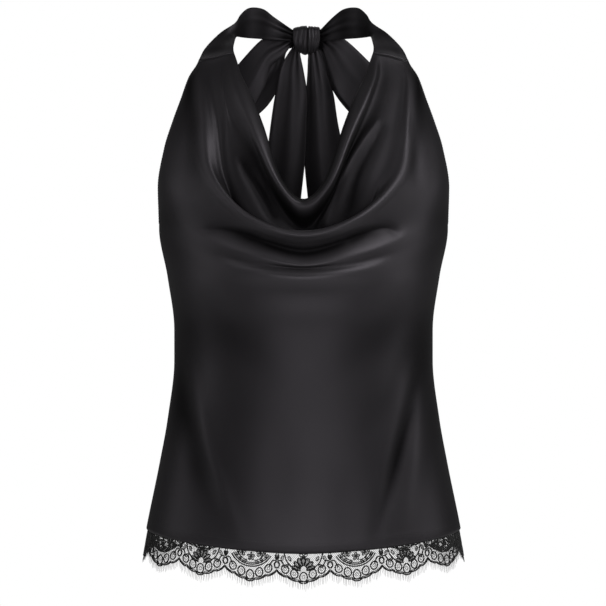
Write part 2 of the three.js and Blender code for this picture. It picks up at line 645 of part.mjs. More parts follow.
add("lace_front", lace(FRONT_Y, frontHem), laceThread);
add("lace_back", lace(BACK_Y, backHem), laceThread);
add("lash_fringe_front", lashFringe(FRONT_Y, frontHem), laceThread);
add("lash_fringe_back", lashFringe(BACK_Y, backHem), laceThread);

export default halterTop;
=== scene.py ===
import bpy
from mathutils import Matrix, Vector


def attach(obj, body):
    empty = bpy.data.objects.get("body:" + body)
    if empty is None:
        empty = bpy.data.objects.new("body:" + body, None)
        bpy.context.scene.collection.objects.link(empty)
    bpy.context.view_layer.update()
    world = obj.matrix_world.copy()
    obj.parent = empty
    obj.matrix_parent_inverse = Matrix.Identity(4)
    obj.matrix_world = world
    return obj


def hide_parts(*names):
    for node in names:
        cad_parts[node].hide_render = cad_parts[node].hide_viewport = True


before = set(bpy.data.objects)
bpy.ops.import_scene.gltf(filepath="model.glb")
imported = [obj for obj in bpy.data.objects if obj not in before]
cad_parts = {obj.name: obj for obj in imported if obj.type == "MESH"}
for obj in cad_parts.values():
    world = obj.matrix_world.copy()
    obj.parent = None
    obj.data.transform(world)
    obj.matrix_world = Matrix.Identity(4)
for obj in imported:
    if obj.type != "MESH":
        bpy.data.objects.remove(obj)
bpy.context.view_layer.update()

import math

import bpy
import numpy as np

# A satin halter neck top with a cowl front, a lace hem and a neck bow. Lengths are millimetres until the
# meshes are made: +Z up, -Y to the front, the origin at the nape of the neck.
MM = 0.001
SEED = 11

# Driving sizes. The walls and the gaps are thinner than those of the solids.
CLOTH = 0.9
BINDING = 1.5
BINDING_WIDTH = 6.5
TIE = 1.5
GAP = 0.06  # between panels at their seams
SCALLOPS = 8
PETALS = 5
LACE_OVERLAP = 4
LACE_INSET = 2.1
STATION_SPAN = 4
HALF_TURN = math.pi / 2

# Camera: the picture's focal length in its own pixels, and where it stands
PICTURE = 606
FOCAL_PIXELS = 1964
CAMERA_Y = -2290
CAMERA_Z = -312
CENTRE_COLUMN = 303.5
SENSOR = 36

FIGURE = np.array([
    # height, edge x, edge y, front y, back y
    [-640, 189, -87, -197, 27],
    [-563, 175.5, -87, -193, 24],
    [-493, 161.2, -87, -191, 19],
    [-440, 151.6, -87, -191, 14],
    [-376, 144.4, -87, -193, 8],
    [-342, 144.4, -87, -195.5, 7],
    [-283, 151.8, -87, -206, 15],
    [-228, 161.4, -87, -201, 20],
    [-185, 161.4, -103, -190, 18],
    [-140, 154, -108, -170, 14],
    [-110, 145, -104, -152, 11],
    [-84, 136.2, -97, -134, 8],
    [-60, 128.4, -88, -115, 5],
    [-41, 118.3, -80, -101, 2],
    [-20, 112, -74, -84, 0],
])
EDGE_X, EDGE_Y, FRONT_Y, BACK_Y = 1, 2, 3, 4

FRONT_ROWS = [
    # name, strips to the next row, height, around and back on the left, and on the right where they differ
    ["neck edge", 12, [-200, -179, -119, -76, -32], [0, 0.092, 0.19, 0.3, 0.47], [20, 14, 6, 2, 0]],
    ["edge roll", 12, [-208, -188, -126, -82, -33], [0, 0.098, 0.235, 0.36, 0.51], [16, 9, 1, -2, 0],
     [0, 0.104, 0.228, 0.355, 0.51], [16, 8, 0, -3, 0]],
    ["inner valley", 12, [-231, -204, -144, -93, -34], [0, 0.115, 0.24, 0.41, 0.55], [30, 23, 10, 3, 0],
     [0, 0.102, 0.214, 0.358, 0.55], [30, 23, 13, 6, 0]],
    ["middle crest", 12, [-243, -212, -155, -97, -35], [0, 0.212, 0.33, 0.42, 0.59], [27, 15, 7, 2.5, 0],
     [0, 0.115, 0.225, 0.425, 0.61], [27, 19, 12, 5, 0]],
    ["pocket", 12, [-249, -228, -177, -107, -37], [0, 0.25, 0.35, 0.455, 0.66], [17, 14, 10.5, 5, 0],
     [0, 0.24, 0.315, 0.48, 0.69], [17, 14, 8, 3, 0]],
    ["lip inside", 10, [-244, -223, -174, -107, -38], [0, 0.245, 0.385, 0.5, 0.74], [5, 5, 3.2, 1.4, 0],
     [0, 0.238, 0.375, 0.535, 0.75], [5, 5, 3, -0.2, 0]],
    ["lip", 10, [-235.5, -217, -170, -107, -39], [0, 0.235, 0.422, 0.56, 0.82], [-3, -4, -4, -2.6, 0],
     [0, 0.235, 0.437, 0.588, 0.82], [-3, -4, -4, -4, 0]],
    ["lip outside", 10, [-240, -221, -176, -109, -41], [0, 0.24, 0.45, 0.64, 1], [-8, -8, -6, -2.6, 0],
     [0, 0.24, 0.46, 0.655, 1], [-8, -8, -6, -3.2, 0]],
    ["upper armhole", 10, [-244.5, -228, -190, -133, -67], [0, 0.24, 0.46, 0.67, 1],
     [-3.5, -3.6, -2.6, 0, 0]],
    ["under lip", 10, [-251, -236, -214, -164, -107], [0, 0.235, 0.45, 0.69, 1], [3.4, 2.4, 0.4, 0, 0]],
    ["first valley", 10, [-258.5, -244.5, -232, -203, -154], [0, 0.22, 0.43, 0.69, 1], [7.2, 5.6, 2.2, 0, 0]],
    ["thin crest", 10, [-271, -260, -244, -222, -181], [0, 0.22, 0.44, 0.7, 1], [-0.9, -0.9, -0.4, 0, 0]],
    ["second valley", 10, [-275.5, -270, -256, -239, -205], [0, 0.225, 0.45, 0.71, 1], [2.2, 1.2, 0, 0, 0]],
    ["broad crest", 8, [-285, -279, -268, -253, -228], [0, 0.23, 0.46, 0.73, 1], [-3.4, -2.4, -0.5, 0, 0]],
    ["below crest", 8, [-301, -298, -288, -277, -254], [0, 0.235, 0.47, 0.735, 1], [1.6, 1.2, 0.3, 0, 0]],
    ["ribs", 8, [-324, -323, -318, -309, -288], [0, 0.24, 0.48, 0.74, 1], [0, 0, 1, 1, 0]],
    ["waist", 8, [-354, -354, -351, -345, -328], [0, 0.25, 0.5, 0.75, 1], [0, 0, 1, 2, 0]],
    ["below waist", 8, [-396, -396, -394, -388, -372], [0, 0.25, 0.5, 0.75, 1], [0, 0, 0, 3, 0]],
    ["high hip", 8, [-442, -442, -440, -434, -420], [0, 0.25, 0.5, 0.75, 1], [0, 0, 1, 3, 0]],
    ["hip", 8, [-490, -490, -488, -482, -470], [0, 0.25, 0.5, 0.75, 1], [0, 0, 2, 1, 0]],
    ["above hem", 12, [-536, -535, -531, -525, -517], [0, 0.25, 0.5, 0.75, 1], [0, 0, 1, 0, 0]],
    ["hem", 0, [-580, -577, -572, -567, -563], [0, 0.25, 0.5, 0.75, 1], [0, 0, 0, 0, 0]],
]
ROW_NAMES = [row[0] for row in FRONT_ROWS]
OUTER_CORNER = ROW_NAMES.index("lip outside")
UNDERARM = ROW_NAMES.index("broad crest")

BACK_ROWS = [
    # centre height, side height, strips to the next row
    [-240, -228, 12],
    [-292, -288, 12],
    [-350, -344, 12],
    [-440, -430, 12],
    [-505, -497, 12],
    [-570, -563, 0],
]
BACK_EASE = 2.5
BACK_WAVES = 3
WAIST_HEIGHT = -360
WAIST_REACH = 90

# Soft drag folds: heights of the two ends, where the fold crosses at its upper end, middle and lower end,
# half width, and depth in (+) or out (-).
DRAG_FOLDS = {
    "front": [
        [-325, -590, [-137, -107, -60], 9, -2.6],
        [-320, -590, [-152, -122, -80], 16, 3.0],
        [-345, -590, [137, 104, 70], 8, 4.2],
        [-340, -590, [146, 125, 100], 12, -3.0],
        [-236, -420, [-132, -88, -20], 24, 1.1],
        [-236, -420, [132, 96, 16], 24, 1.2],
        [-330, -470, [132, 96, 66], 14, 1.8],
        [-400, -600, [-30, -22, -36], 22, 0.9],
        [-450, -640, [40, 44, 40], 20, 0.9],
    ],
    "back": [
        [-232, -352, [-112, -84, -40], 12, 2],
        [-236, -356, [106, 78, 44], 12, 2],
        [-350, -540, [-128, -104, -84], 13, 3],
        [-342, -520, [-140, -122, -104], 11, -2.5],
        [-356, -530, [132, 100, 76], 12, 3],
        [-350, -540, [144, 118, 96], 12, -2.5],
        [-330, -500, [10, 22, 30], 16, 1.6],
    ],
}

# Finer creases of the front, by places in the picture (column, row), with half width and depth in
# millimetres. from_row and to_row are the rows of cloth that the crease lies between.
FRONT_CREASES = [
    # name, from row, to row, half width, depth, line
    ["left second valley", 1.5, 4.4, 5, 2.8, [(240, 160), (247, 173), (257, 189), (265, 203), (271, 217)]],
    ["left faint ridge", 1.2, 4.2, 4.0, -1.5, [(256, 172), (264, 187), (272, 202), (279, 215)]],
    ["right ridge", 1.5, 4.2, 2.8, -2.2,
     [(377, 120), (366, 135), (357, 149), (347, 166), (337, 184), (331, 201), (326, 222)]],
    ["right plane hollow", 3.0, 4.7, 8, 3.4, [(380, 128), (368, 152), (357, 176), (350, 198), (344, 214)]],
    ["left outer valley", 6, 9.5, 9, 1.0, [(197, 78), (192, 105), (189, 135), (190, 165), (194, 190)]],
    ["left outer crest", 6, 9.5, 7, -0.8, [(187, 95), (180, 125), (178, 155), (180, 180)]],
    ["right outer valley", 6, 9.5, 6, 1.1, [(412, 95), (414, 120), (415, 145), (416, 165), (418, 190)]],
    ["right outer crest", 6, 9.5, 8, -0.9, [(417, 90), (421, 112), (425, 140), (426, 165), (426, 190)]],
    ["valley end right", 8.0, 11.5, 4.5, 2.6, [(350, 239), (364, 232), (377, 228), (388, 228), (396, 233)]],
    ["valley end left", 8.0, 11.5, 4.2, 2.4, [(256, 238), (243, 233), (230, 230), (217, 229), (207, 231)]],
]
CREASE_DEPTH_Y = -172  # where in depth the creases lie, for reading them off the picture
CREASE_STEPS = 6  # to each place
CREASE_FADE = 0.4  # rows of cloth over which a crease fades

STRAP_RIGHT = [
    # inner or lower edge, outer or upper edge
    [[80.2, -88.3, -31.4], [118.2, -80.2, -40.2]],
    [[78.5, -78, -21], [111, -72, -24.5]],
    [[77, -63, -12], [95, -61, -6]],
    [[76, -47, -8], [78, -51, 7.5]],
    [[71, -34, -7], [71.5, -40, 19]],
    [[62, -23, -6.5], [62, -28, 28]],
    [[48, -12, -6], [47, -15, 28.5]],
    [[34, -3, -6], [34, -4, 20.5]],
]
STRAP_ENDS = {
    "right": [[19.95, 7, -6], [19.95, 7, 8]],
    "left": [[12.95, 7, -6], [12.95, 7, 7.5]],
}
LOOP_LEFT = [
    # upper edge, lower edge: out on the neck's side, round the tip and back behind
    [[-12.95, 13, 3], [-12.95, 13, -8]],
    [[-28, 9, 3], [-24, 9, -23]],
    [[-49, 7, -4], [-38, 8, -36]],
    [[-76, 9, -32], [-46, 8, -60]],
    [[-92, 13, -50], [-62, 12, -90]],
    [[-100, 20, -60], [-76, 20, -107]],
    [[-92, 28, -52], [-64, 29, -98]],
    [[-74, 32, -33], [-42, 33, -78]],
    [[-48, 30, -8], [-27.5, 31, -52]],
    [[-28, 24, 1], [-20.5, 24, -17]],
    [[-12.95, 18, 2], [-11, 18, -12]],
]
LOOP_RIGHT = [
    [[19.95, 13, 3], [19.95, 13, -8]],
    [[33, 9, 3], [26, 9, -24]],
    [[50, 7, -5], [31, 8, -43]],
    [[78, 9, -31], [41, 8, -69]],
    [[93, 13, -48], [63, 12, -95]],
    [[101, 20, -58], [78, 20, -109]],
    [[93, 28, -50], [64, 29, -97]],
    [[75, 32, -31], [42, 33, -72]],
    [[50, 30, -8], [27, 31, -46]],
    [[33, 24, 1], [19.5, 24, -27]],
    [[19.95, 18, 2], [15, 18, -20]],
]
TAIL_LEFT = [
    # outer edge, inner edge
    [[-10, 12, -10], [-4, 12, -12]],
    [[-16, 12, -17], [-4, 12, -20.8]],
    [[-26.5, 12, -36], [0, 13, -40]],
    [[-33, 14, -66], [4.4, 14, -68]],
    [[-38, 16, -98], [3.6, 16, -100]],
    [[-43, 19, -138], [2.2, 19, -140]],
    [[-49, 23, -189], [-3.2, 23, -191]],
    [[-55, 26, -240], [-8, 27, -242]],
    [[-61, 27, -290], [-13, 30, -294]],
    [[-66, 27, -334], [-18, 30, -350]],
]
TAIL_RIGHT = [
    [[8, 12, -12], [14, 12, -10]],
    [[5.6, 12, -21.9], [20.5, 12, -19.7]],
    [[4.6, 14.5, -42], [27, 12, -40]],
    [[2.8, 17, -68], [35, 14, -66]],
    [[2, 19.4, -100], [40, 16, -98]],
    [[0.8, 22.4, -140], [47.5, 19, -138]],
    [[5.3, 26, -191], [53, 23, -189]],
    [[12, 29, -242], [60, 26, -240]],
    [[18, 30, -294], [67, 27, -290]],
    [[24, 30, -350], [73, 27, -334]],
]
KNOT_CENTRE = np.array([3, 13, -4])
KNOT_RINGS = np.array([
    # x from the centre, half height, half depth
    [-15.8, 11.5, 8.6],
    [-14.6, 14.2, 10],
    [-10, 15.8, 11],
    [-4, 17.0, 11.8],
    [1, 17.2, 11.6],
    [6, 16.6, 11.4],
    [12, 16.2, 10.8],
    [15.4, 15.2, 9.8],
    [16.8, 12.2, 8.4],
])


# Curves and surfaces
def cubic(p, f):
    p0, p1, p2, p3 = p
    return p1 + 0.5 * f * (p2 - p0 + f * (2 * p0 - 5 * p1 + 4 * p2 - p3 + f * (3 * (p1 - p2) + p3 - p0)))


def spline(values, t):
    """A smooth curve through evenly spaced values, read at t = 0 to the last index."""
    values = np.asarray(values, float)
    t = np.asarray(t, float)
    i = np.clip(np.floor(t).astype(int), 0, len(values) - 2)
    f = (t - i).reshape(t.shape + (1,) * (values.ndim - 1))
    ends = [2 * values[:1] - values[1:2], values, 2 * values[-1:] - values[-2:-1]]
    padded = np.concatenate(ends)
    return cubic([padded[i + k] for k in range(4)], f)


def figure(column, height):
    """One column of the figure's table, read smoothly at a height."""
    z = np.clip(np.asarray(height, float), FIGURE[0, 0], FIGURE[-1, 0])
    steps = np.diff(FIGURE[:, 0])
    slopes = np.diff(FIGURE[:, column]) / steps
    before, after = slopes[:-1], slopes[1:]
    total = before + after
    meeting = np.where(before * after > 0, 2 * before * after / np.where(total == 0, 1, total), 0)
    tangents = np.concatenate([slopes[:1], meeting, slopes[-1:]])
    i = np.clip(np.searchsorted(FIGURE[:, 0], z, side="right") - 1, 0, len(steps) - 1)
    t = (z - FIGURE[i, 0]) / steps[i]
    low, high = FIGURE[i, column], FIGURE[i + 1, column]
    bend = steps[i] * (tangents[i] * t * (1 - t) ** 2 - tangents[i + 1] * t * t * (1 - t))
    return low + (high - low) * t * t * (3 - 2 * t) + bend


def on_figure(around, height, centre):
    edge_y = figure(EDGE_Y, height)
    depth = edge_y - figure(centre, height)
    x = figure(EDGE_X, height) * np.sin(around * HALF_TURN)
    return np.stack([x, edge_y - depth * np.cos(around * HALF_TURN), height + 0 * x], -1)


def both_sides(left, right, sign):
    """Values from the left edge to the right one, from two lists that each start at the centre."""
    return np.concatenate([sign * np.array(left[:0:-1], float), np.array(right, float)])


ROW_TABLES = {
    "height": np.array([both_sides(row[2], row[2], 1) for row in FRONT_ROWS]),
    "around": np.array([both_sides(row[3], row[5] if len(row) > 5 else row[3], -1) for row in FRONT_ROWS]),
    "back": np.array([both_sides(row[4], row[6] if len(row) > 5 else row[4], 1) for row in FRONT_ROWS]),
}


def across_rows(table, u, v):
    """A value of the front at u from -1 at the left edge to 1 at the right, v counting rows down."""
    rows = spline(table, v)
    first = 2 * rows[..., :1] - rows[..., 1:2]
    last = 2 * rows[..., -1:] - rows[..., -2:-1]
    padded = np.concatenate([first, rows, last], -1)
    t = (u + 1) * STATION_SPAN
    i = np.clip(np.floor(t).astype(int), 0, 2 * STATION_SPAN - 1)
    points = [np.take_along_axis(padded, (i + k)[..., None], -1)[..., 0] for k in range(4)]
    return cubic(points, t - i)


def fold_depth(folds, x, z):
    depth = np.zeros_like(x)
    for top, bottom, across, half_width, deep in folds:
        along = np.clip((top - z) / (top - bottom), 0, 1)
        aside = (x - spline(across, 2 * along)) / half_width
        depth += deep * np.exp(-(aside**2)) * np.sin(np.pi * along) ** 2
    return depth


def picture_point(column, row, y):
    scale = (y - CAMERA_Y) / FOCAL_PIXELS
    return (column - CENTRE_COLUMN) * scale, CAMERA_Z + (PICTURE / 2 - row) * scale


def crease_depth(v, x, z):
    """The finer creases, each fading out at its ends, at its sides and off its own rows of cloth."""
    depth = np.zeros_like(x)
    for _, from_row, to_row, half_width, deep, line in FRONT_CREASES:
        corners = np.array([picture_point(c, r, CREASE_DEPTH_Y) for c, r in line])
        path = spline(corners, np.linspace(0, len(corners) - 1, CREASE_STEPS * len(corners)))
        share = np.linspace(0, 1, len(path))
        near = (v > from_row) & (v < to_row)
        px, pz = x[near], z[near]
        gaps = (px[:, None] - path[:, 0]) ** 2 + (pz[:, None] - path[:, 1]) ** 2
        closest = gaps.argmin(1)
        fade = np.sin(np.pi * np.clip(0.08 + 0.84 * share[closest], 0, 1)) ** 0.7
        rows = np.clip(np.minimum(v[near] - from_row, to_row - v[near]) / CREASE_FADE, 0, 1)
        aside = np.sqrt(gaps[np.arange(len(px)), closest]) / half_width
        depth[near] += deep * fade * rows * np.exp(-(aside**2))
    return depth


HEM_TURN = 12  # height of the turned hem
HEM_STEP = 0.35  # how far its double cloth stands out
HEM_CURL = 1.8  # how far the hem turns in at its edge
HEM_SLOPE = 0.8  # height over which the step rises


def hem_step(z, hem):
    return HEM_STEP * np.clip((hem + HEM_TURN - z) / HEM_SLOPE, 0, 1)


def front_point(u, v, fine=True):
    around = across_rows(ROW_TABLES["around"], u, v)
    point = on_figure(around, across_rows(ROW_TABLES["height"], u, v), FRONT_Y)
    x, z = point[..., 0].copy(), point[..., 2].copy()
    inside = 1 - around**8
    point[..., 1] += across_rows(ROW_TABLES["back"], u, v) - GAP / 2
    point[..., 1] += fold_depth(DRAG_FOLDS["front"], x, z) * inside
    if fine:
        point[..., 1] += crease_depth(v, x, z) * np.clip(1 - u**8, 0, 1)
    return point


def back_point(u, v):
    centre = spline([row[0] for row in BACK_ROWS], v)
    side = spline([row[1] for row in BACK_ROWS], v)
    point = on_figure(-u, side + (centre - side) * np.cos(u * HALF_TURN), BACK_Y)
    x, z = point[..., 0].copy(), point[..., 2].copy()
    waist = np.exp(-(((z - WAIST_HEIGHT) / WAIST_REACH) ** 2))
    waves = np.cos(u * np.pi * BACK_WAVES) * np.cos(u * HALF_TURN)
    point[..., 1] += BACK_EASE * waist * waves + GAP / 2
    point[..., 1] -= fold_depth(DRAG_FOLDS["back"], x, z) * (1 - u**8)
    return point


def grid_normals(points):
    """Unit normals of a grid of points: along the rows crossed with down the rows."""
    across = np.gradient(points, axis=1)
    down = np.gradient(points, axis=0)
    normals = np.cross(down, across)
    return normals / np.maximum(np.linalg.norm(normals, axis=-1, keepdims=True), 1e-9)


# Materials
def new_material(name):
    material = bpy.data.materials.new(name)
    material.use_nodes = True
    nodes, links = material.node_tree.nodes, material.node_tree.links
    return material, nodes, links, nodes["Principled BSDF"]


def add_node(nodes, kind, inputs=None, **settings):
    """A new shader node with its settings and the values of its inputs."""
    node = nodes.new("ShaderNode" + kind)
    for name, value in settings.items():
        setattr(node, name, value)
    set_inputs(node, inputs or {})
    return node


def set_inputs(node, values):
    for name, value in values.items():
        node.inputs[name].default_value = value


def join(links, pairs):
    """Links from node outputs to node inputs, each pair as node, output name, node, input name."""
    for source, output, target, name in pairs:
        links.new(source.outputs[output], target.inputs[name])


def set_ramp(node, *elements):
    """The places and colours of a colour ramp's two elements. A place of None stays as it is."""
    for element, (place, colour) in zip(node.color_ramp.elements, elements):
        if place is not None:
            element.position = place
        element.color = (*colour, 1)


def satin_material():
    """Black satin: a fine diagonal weave, slow changes of tone, painted shade (darker colour, weaker
    reflection) in the hollows of the folds with a painted highlight (stronger reflection) on their crests,
    and edges worn a little paler and duller."""
    material, nodes, links, shader = new_material("black_satin")
    uv = add_node(nodes, "UVMap", uv_map="cloth")
    edge = add_node(nodes, "Attribute", attribute_name="edge")
    hollow = add_node(nodes, "Attribute", attribute_name="hollow")
    # Painted highlight and painted shade: reflection from 0.85 on crests down to 0.10 in deep hollows
    painted_highlight_and_shade = add_node(nodes, "MapRange", {"From Min": -1, "To Min": 0.85, "To Max": 0.10})
    # Painted shade: the colour darkens towards near black in the hollows
    deep = add_node(nodes, "Mix", {"B": (0.0018, 0.0016, 0.0018, 1)}, data_type="RGBA")
    slow = add_node(nodes, "TexNoise", {"Scale": 14, "Detail": 3})
    slub = add_node(nodes, "TexNoise", {"Scale": 420, "Detail": 2})
    stretch = add_node(nodes, "Mapping", {"Scale": (1, 0.12, 1)})
    tone = add_node(nodes, "ValToRGB")
    set_ramp(tone, (0.3, (0.0065, 0.0059, 0.0066)), (0.7, (0.0088, 0.0080, 0.0089)))
    worn = add_node(nodes, "Mix", {"B": (0.018, 0.0165, 0.018, 1)}, data_type="RGBA")
    wear = add_node(nodes, "Math", {1: 0.4}, operation="MULTIPLY")
    rough = add_node(nodes, "MapRange", {"To Min": 0.42, "To Max": 0.48})
    weave = add_node(nodes, "TexWave", {"Scale": 420, "Distortion": 1.2, "Detail": 1},
                     wave_type="BANDS", bands_direction="DIAGONAL")
    mixed = add_node(nodes, "Math", {1: 0.5}, operation="MULTIPLY_ADD")
    bump = add_node(nodes, "Bump", {"Strength": 0.10, "Distance": 0.0002})
    join(links, [
        (uv, "UV", stretch, "Vector"),
        (stretch, "Vector", slub, "Vector"),
        (uv, "UV", slow, "Vector"),
        (uv, "UV", weave, "Vector"),
        (slow, "Fac", tone, "Fac"),
        (tone, "Color", worn, "A"),
        (edge, "Fac", wear, 0),
        (wear, 0, worn, "Factor"),
        # painted shade and painted highlight, driven by the hollow attribute
        (hollow, "Fac", deep, "Factor"),
        (worn, "Result", deep, "A"),
        (deep, "Result", shader, "Base Color"),
        (hollow, "Fac", painted_highlight_and_shade, "Value"),
        (painted_highlight_and_shade, "Result", shader, "Specular IOR Level"),
        (slub, "Fac", rough, "Value"),
        (rough, "Result", shader, "Roughness"),
        (weave, "Fac", mixed, 0),
        (slub, "Fac", mixed, 2),
        (mixed, 0, bump, "Height"),
        (bump, "Normal", shader, "Normal"),
    ])
    set_inputs(shader, {
        "Specular Tint": (1.0, 0.935, 1.035, 1),
        "Sheen Weight": 0.02,
        "Sheen Roughness": 0.5,
    })
    return material


def thread_material(name, colour, roughness, twist):
    """Matt twisted thread with small changes of tone along it."""
    material, nodes, links, shader = new_material(name)
    place = add_node(nodes, "TexCoord")
    noise = add_node(nodes, "TexNoise", {"Scale": 260, "Detail": 2})
    tone = add_node(nodes, "ValToRGB")
    set_ramp(tone, (None, [0.6 * c for c in colour]), (None, [1.5 * c for c in colour]))
    ply = add_node(nodes, "TexWave", {"Scale": twist}, bands_direction="DIAGONAL")
    rough = add_node(nodes, "MapRange", {"To Min": roughness, "To Max": roughness + 0.15})
    bump = add_node(nodes, "Bump", {"Strength": 0.3, "Distance": 0.0001})
    join(links, [
        (place, "Object", noise, "Vector"),
        (place, "Object", ply, "Vector"),
        (noise, "Fac", tone, "Fac"),
        (tone, "Color", shader, "Base Color"),
        (noise, "Fac", rough, "Value"),
        (rough, "Result", shader, "Roughness"),
        (ply, "Fac", bump, "Height"),
        (bump, "Normal", shader, "Normal"),
    ])
    set_inputs(shader, {"Sheen Weight": 0.1})
    return material


SATIN = satin_material()
SEWING = thread_material("sewing_thread", (0.014, 0.014, 0.015), 0.5, 900)
LACE_THREAD = thread_material("lace_thread", (0.006, 0.006, 0.006), 0.7, 700)
NET_THREAD = thread_material("net_thread", (0.010, 0.010, 0.011), 0.8, 700)


# Meshes
def new_piece(name, points, faces, material, replaced=()):
    """A piece of the top from points in millimetres and faces, all with the same number of corners."""
    points = np.asarray(points, float).reshape(-1, 3) * MM
    faces = np.asarray(faces, int)
    mesh = bpy.data.meshes.new(name)
    mesh.vertices.add(len(points))
    mesh.vertices.foreach_set("co", points.astype(np.float32).ravel())
    mesh.loops.add(faces.size)
    mesh.loops.foreach_set("vertex_index", faces.astype(np.int32).ravel())
    mesh.polygons.add(len(faces))
    mesh.polygons.foreach_set("loop_start", np.arange(0, faces.size, faces.shape[1], dtype=np.int32))
    mesh.polygons.foreach_set("use_smooth", np.ones(len(faces), bool))
    mesh.update(calc_edges=True)
    mesh.materials.append(material)
    piece = bpy.data.objects.new(name, mesh)
    bpy.context.scene.collection.objects.link(piece)
    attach(piece, "root")
    if replaced:
        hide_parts(*replaced)
    return piece


def grid_lengths(points):
    """Lengths along the rows and down the columns of a grid, in millimetres."""
    across = np.linalg.norm(np.diff(points, axis=1), axis=-1)
    down = np.linalg.norm(np.diff(points, axis=0), axis=-1)
    along_rows = np.concatenate([np.zeros((len(points), 1)), np.cumsum(across, 1)], 1)
    down_columns = np.concatenate([np.zeros((1, points.shape[1])), np.cumsum(down, 0)], 0)
    return along_rows, down_columns


EDGE_WEAR = 2.5  # how far in from an edge the wear fades
EDGE_THINNING = 0.75
# Scales of the painted shade in the folds' hollows and the painted highlight on their crests
PANEL_HOLLOWS = [
    # strips and columns that the cloth round a point is averaged over, depth that counts as one, share
    [9, 5, 3.2, 0.5],
    [24, 14, 11, 0.7],
]
RIBBON_HOLLOWS = [[9, 3, 1.2, 1.0]]
COWL_DEPTH = 11  # how far behind the figure the cowl gets its full painted shade
# Share of painted shade given to the inside of the cowl
COWL_SHADE = 0.82


def blurred(values, width, axis):
    """Values smoothed along one axis of a grid, with the end values carried on."""
    offsets = np.arange(-2 * width, 2 * width + 1)
    weights = np.exp(-0.5 * (offsets / width) ** 2)
    places = np.arange(values.shape[axis])
    total = np.zeros_like(values)
    for offset, weight in zip(offsets, weights):
        total += weight * np.take(values, np.clip(places + offset, 0, places[-1]), axis)
    return total / weights.sum()


def hollows(depth, scales):
    """How far each point lies behind the cloth round it, from -1 on a crest to 1 in a deep fold."""
    value = np.zeros_like(depth)
    for strips, columns, full, share in scales:
        around = blurred(blurred(depth, strips, 0), columns, 1)
        value += share * np.clip((depth - around) / full, -1, 1.5)
    to_side = np.linspace(-1, 1, depth.shape[1]) ** 10
    return value * (1 - to_side)


def front_hollows(u, v):
    """The front's painted shade in its hollows and inside the cowl, and painted highlight on its crests."""
    full_u = np.repeat(np.linspace(-1, 1, u.shape[1])[None, :], len(u), 0)
    depth = front_point(full_u, v)[..., 1]
    shade = np.clip(across_rows(ROW_TABLES["back"], full_u, v) / COWL_DEPTH, 0, 1)
    value = np.clip(hollows(depth, PANEL_HOLLOWS) + COWL_SHADE * shade, -1, 1)
    return np.stack([np.interp(row_u, row_full, row) for row_u, row_full, row in zip(u, full_u, value)])


def set_cloth_places(piece, flat):
    """Where each point lies on the flat cloth, in metres, for the weave."""
    corners = np.zeros(len(piece.data.loops), np.int32)
    piece.data.loops.foreach_get("vertex_index", corners)
    layer = piece.data.uv_layers.new(name="cloth")
    layer.data.foreach_set("uv", flat[corners].astype(np.float32).ravel())


def set_attribute(piece, name, values):
    """A value at each point of a shell, the same on its two faces."""
    attribute = piece.data.attributes.new(name, "FLOAT", "POINT")
    attribute.data.foreach_set("value", np.concatenate([values, values]).ravel().astype(np.float32))


def sheet_shell(name, points, thickness, replaced, thin_edges=False, hollow=None):
    """A wall of cloth round a grid of middle points, with lengths for the weave and an edge attribute."""
    rows, columns = points.shape[:2]
    normals = grid_normals(points)
    along_rows, down_columns = grid_lengths(points)
    half = np.full((rows, columns, 1), thickness / 2)
    if thin_edges:
        share = np.linspace(-1, 1, columns)
        half *= np.sqrt(1 - EDGE_THINNING * share**12)[None, :, None]
    layers = np.concatenate([(points + side * half * normals).reshape(-1, 3) for side in (1, -1)])
    index = np.arange(rows * columns).reshape(rows, columns)
    a, b, c, d = index[:-1, :-1], index[1:, :-1], index[1:, 1:], index[:-1, 1:]
    outer = np.stack([a, b, c, d], -1).reshape(-1, 4)
    inner = outer[:, ::-1] + rows * columns
    border = np.concatenate([index[0, :-1], index[:-1, -1], index[-1, :0:-1], index[:0:-1, 0]])
    following = np.roll(border, -1)
    rim = np.stack([border, following, following + rows * columns, border + rows * columns], -1)
    piece = new_piece(name, layers, np.concatenate([outer, inner, rim]), SATIN, replaced)
    middle = along_rows - along_rows[:, -1:] / 2
    flat = np.stack([middle, -down_columns], -1).reshape(-1, 2) * MM
    set_cloth_places(piece, np.concatenate([flat, flat]))
    to_side = np.minimum(along_rows, along_rows[:, -1:] - along_rows)
    to_end = np.minimum(down_columns, down_columns[-1:] - down_columns)
    wear = np.exp(-np.minimum(to_side, to_end) / EDGE_WEAR).ravel()
    set_attribute(piece, "edge", wear)
    # Painted shade in the hollows and painted highlight on the crests, carried by the hollow attribute
    if hollow is not None:
        set_attribute(piece, "hollow", hollow)
    return piece


THREADS = {
    # radius, sides, and the radius at the end as a share of that at the start
    "edge": (0.85, 5, 1),
    "thick": (0.74, 4, 1),
    "thin": (0.5, 4, 1),
    "filling": (0.33, 3, 1),
    "net": (0.2, 3, 1),
    "lash": (0.32, 3, 0.35),
    "stitch": (0.13, 4, 1),
}


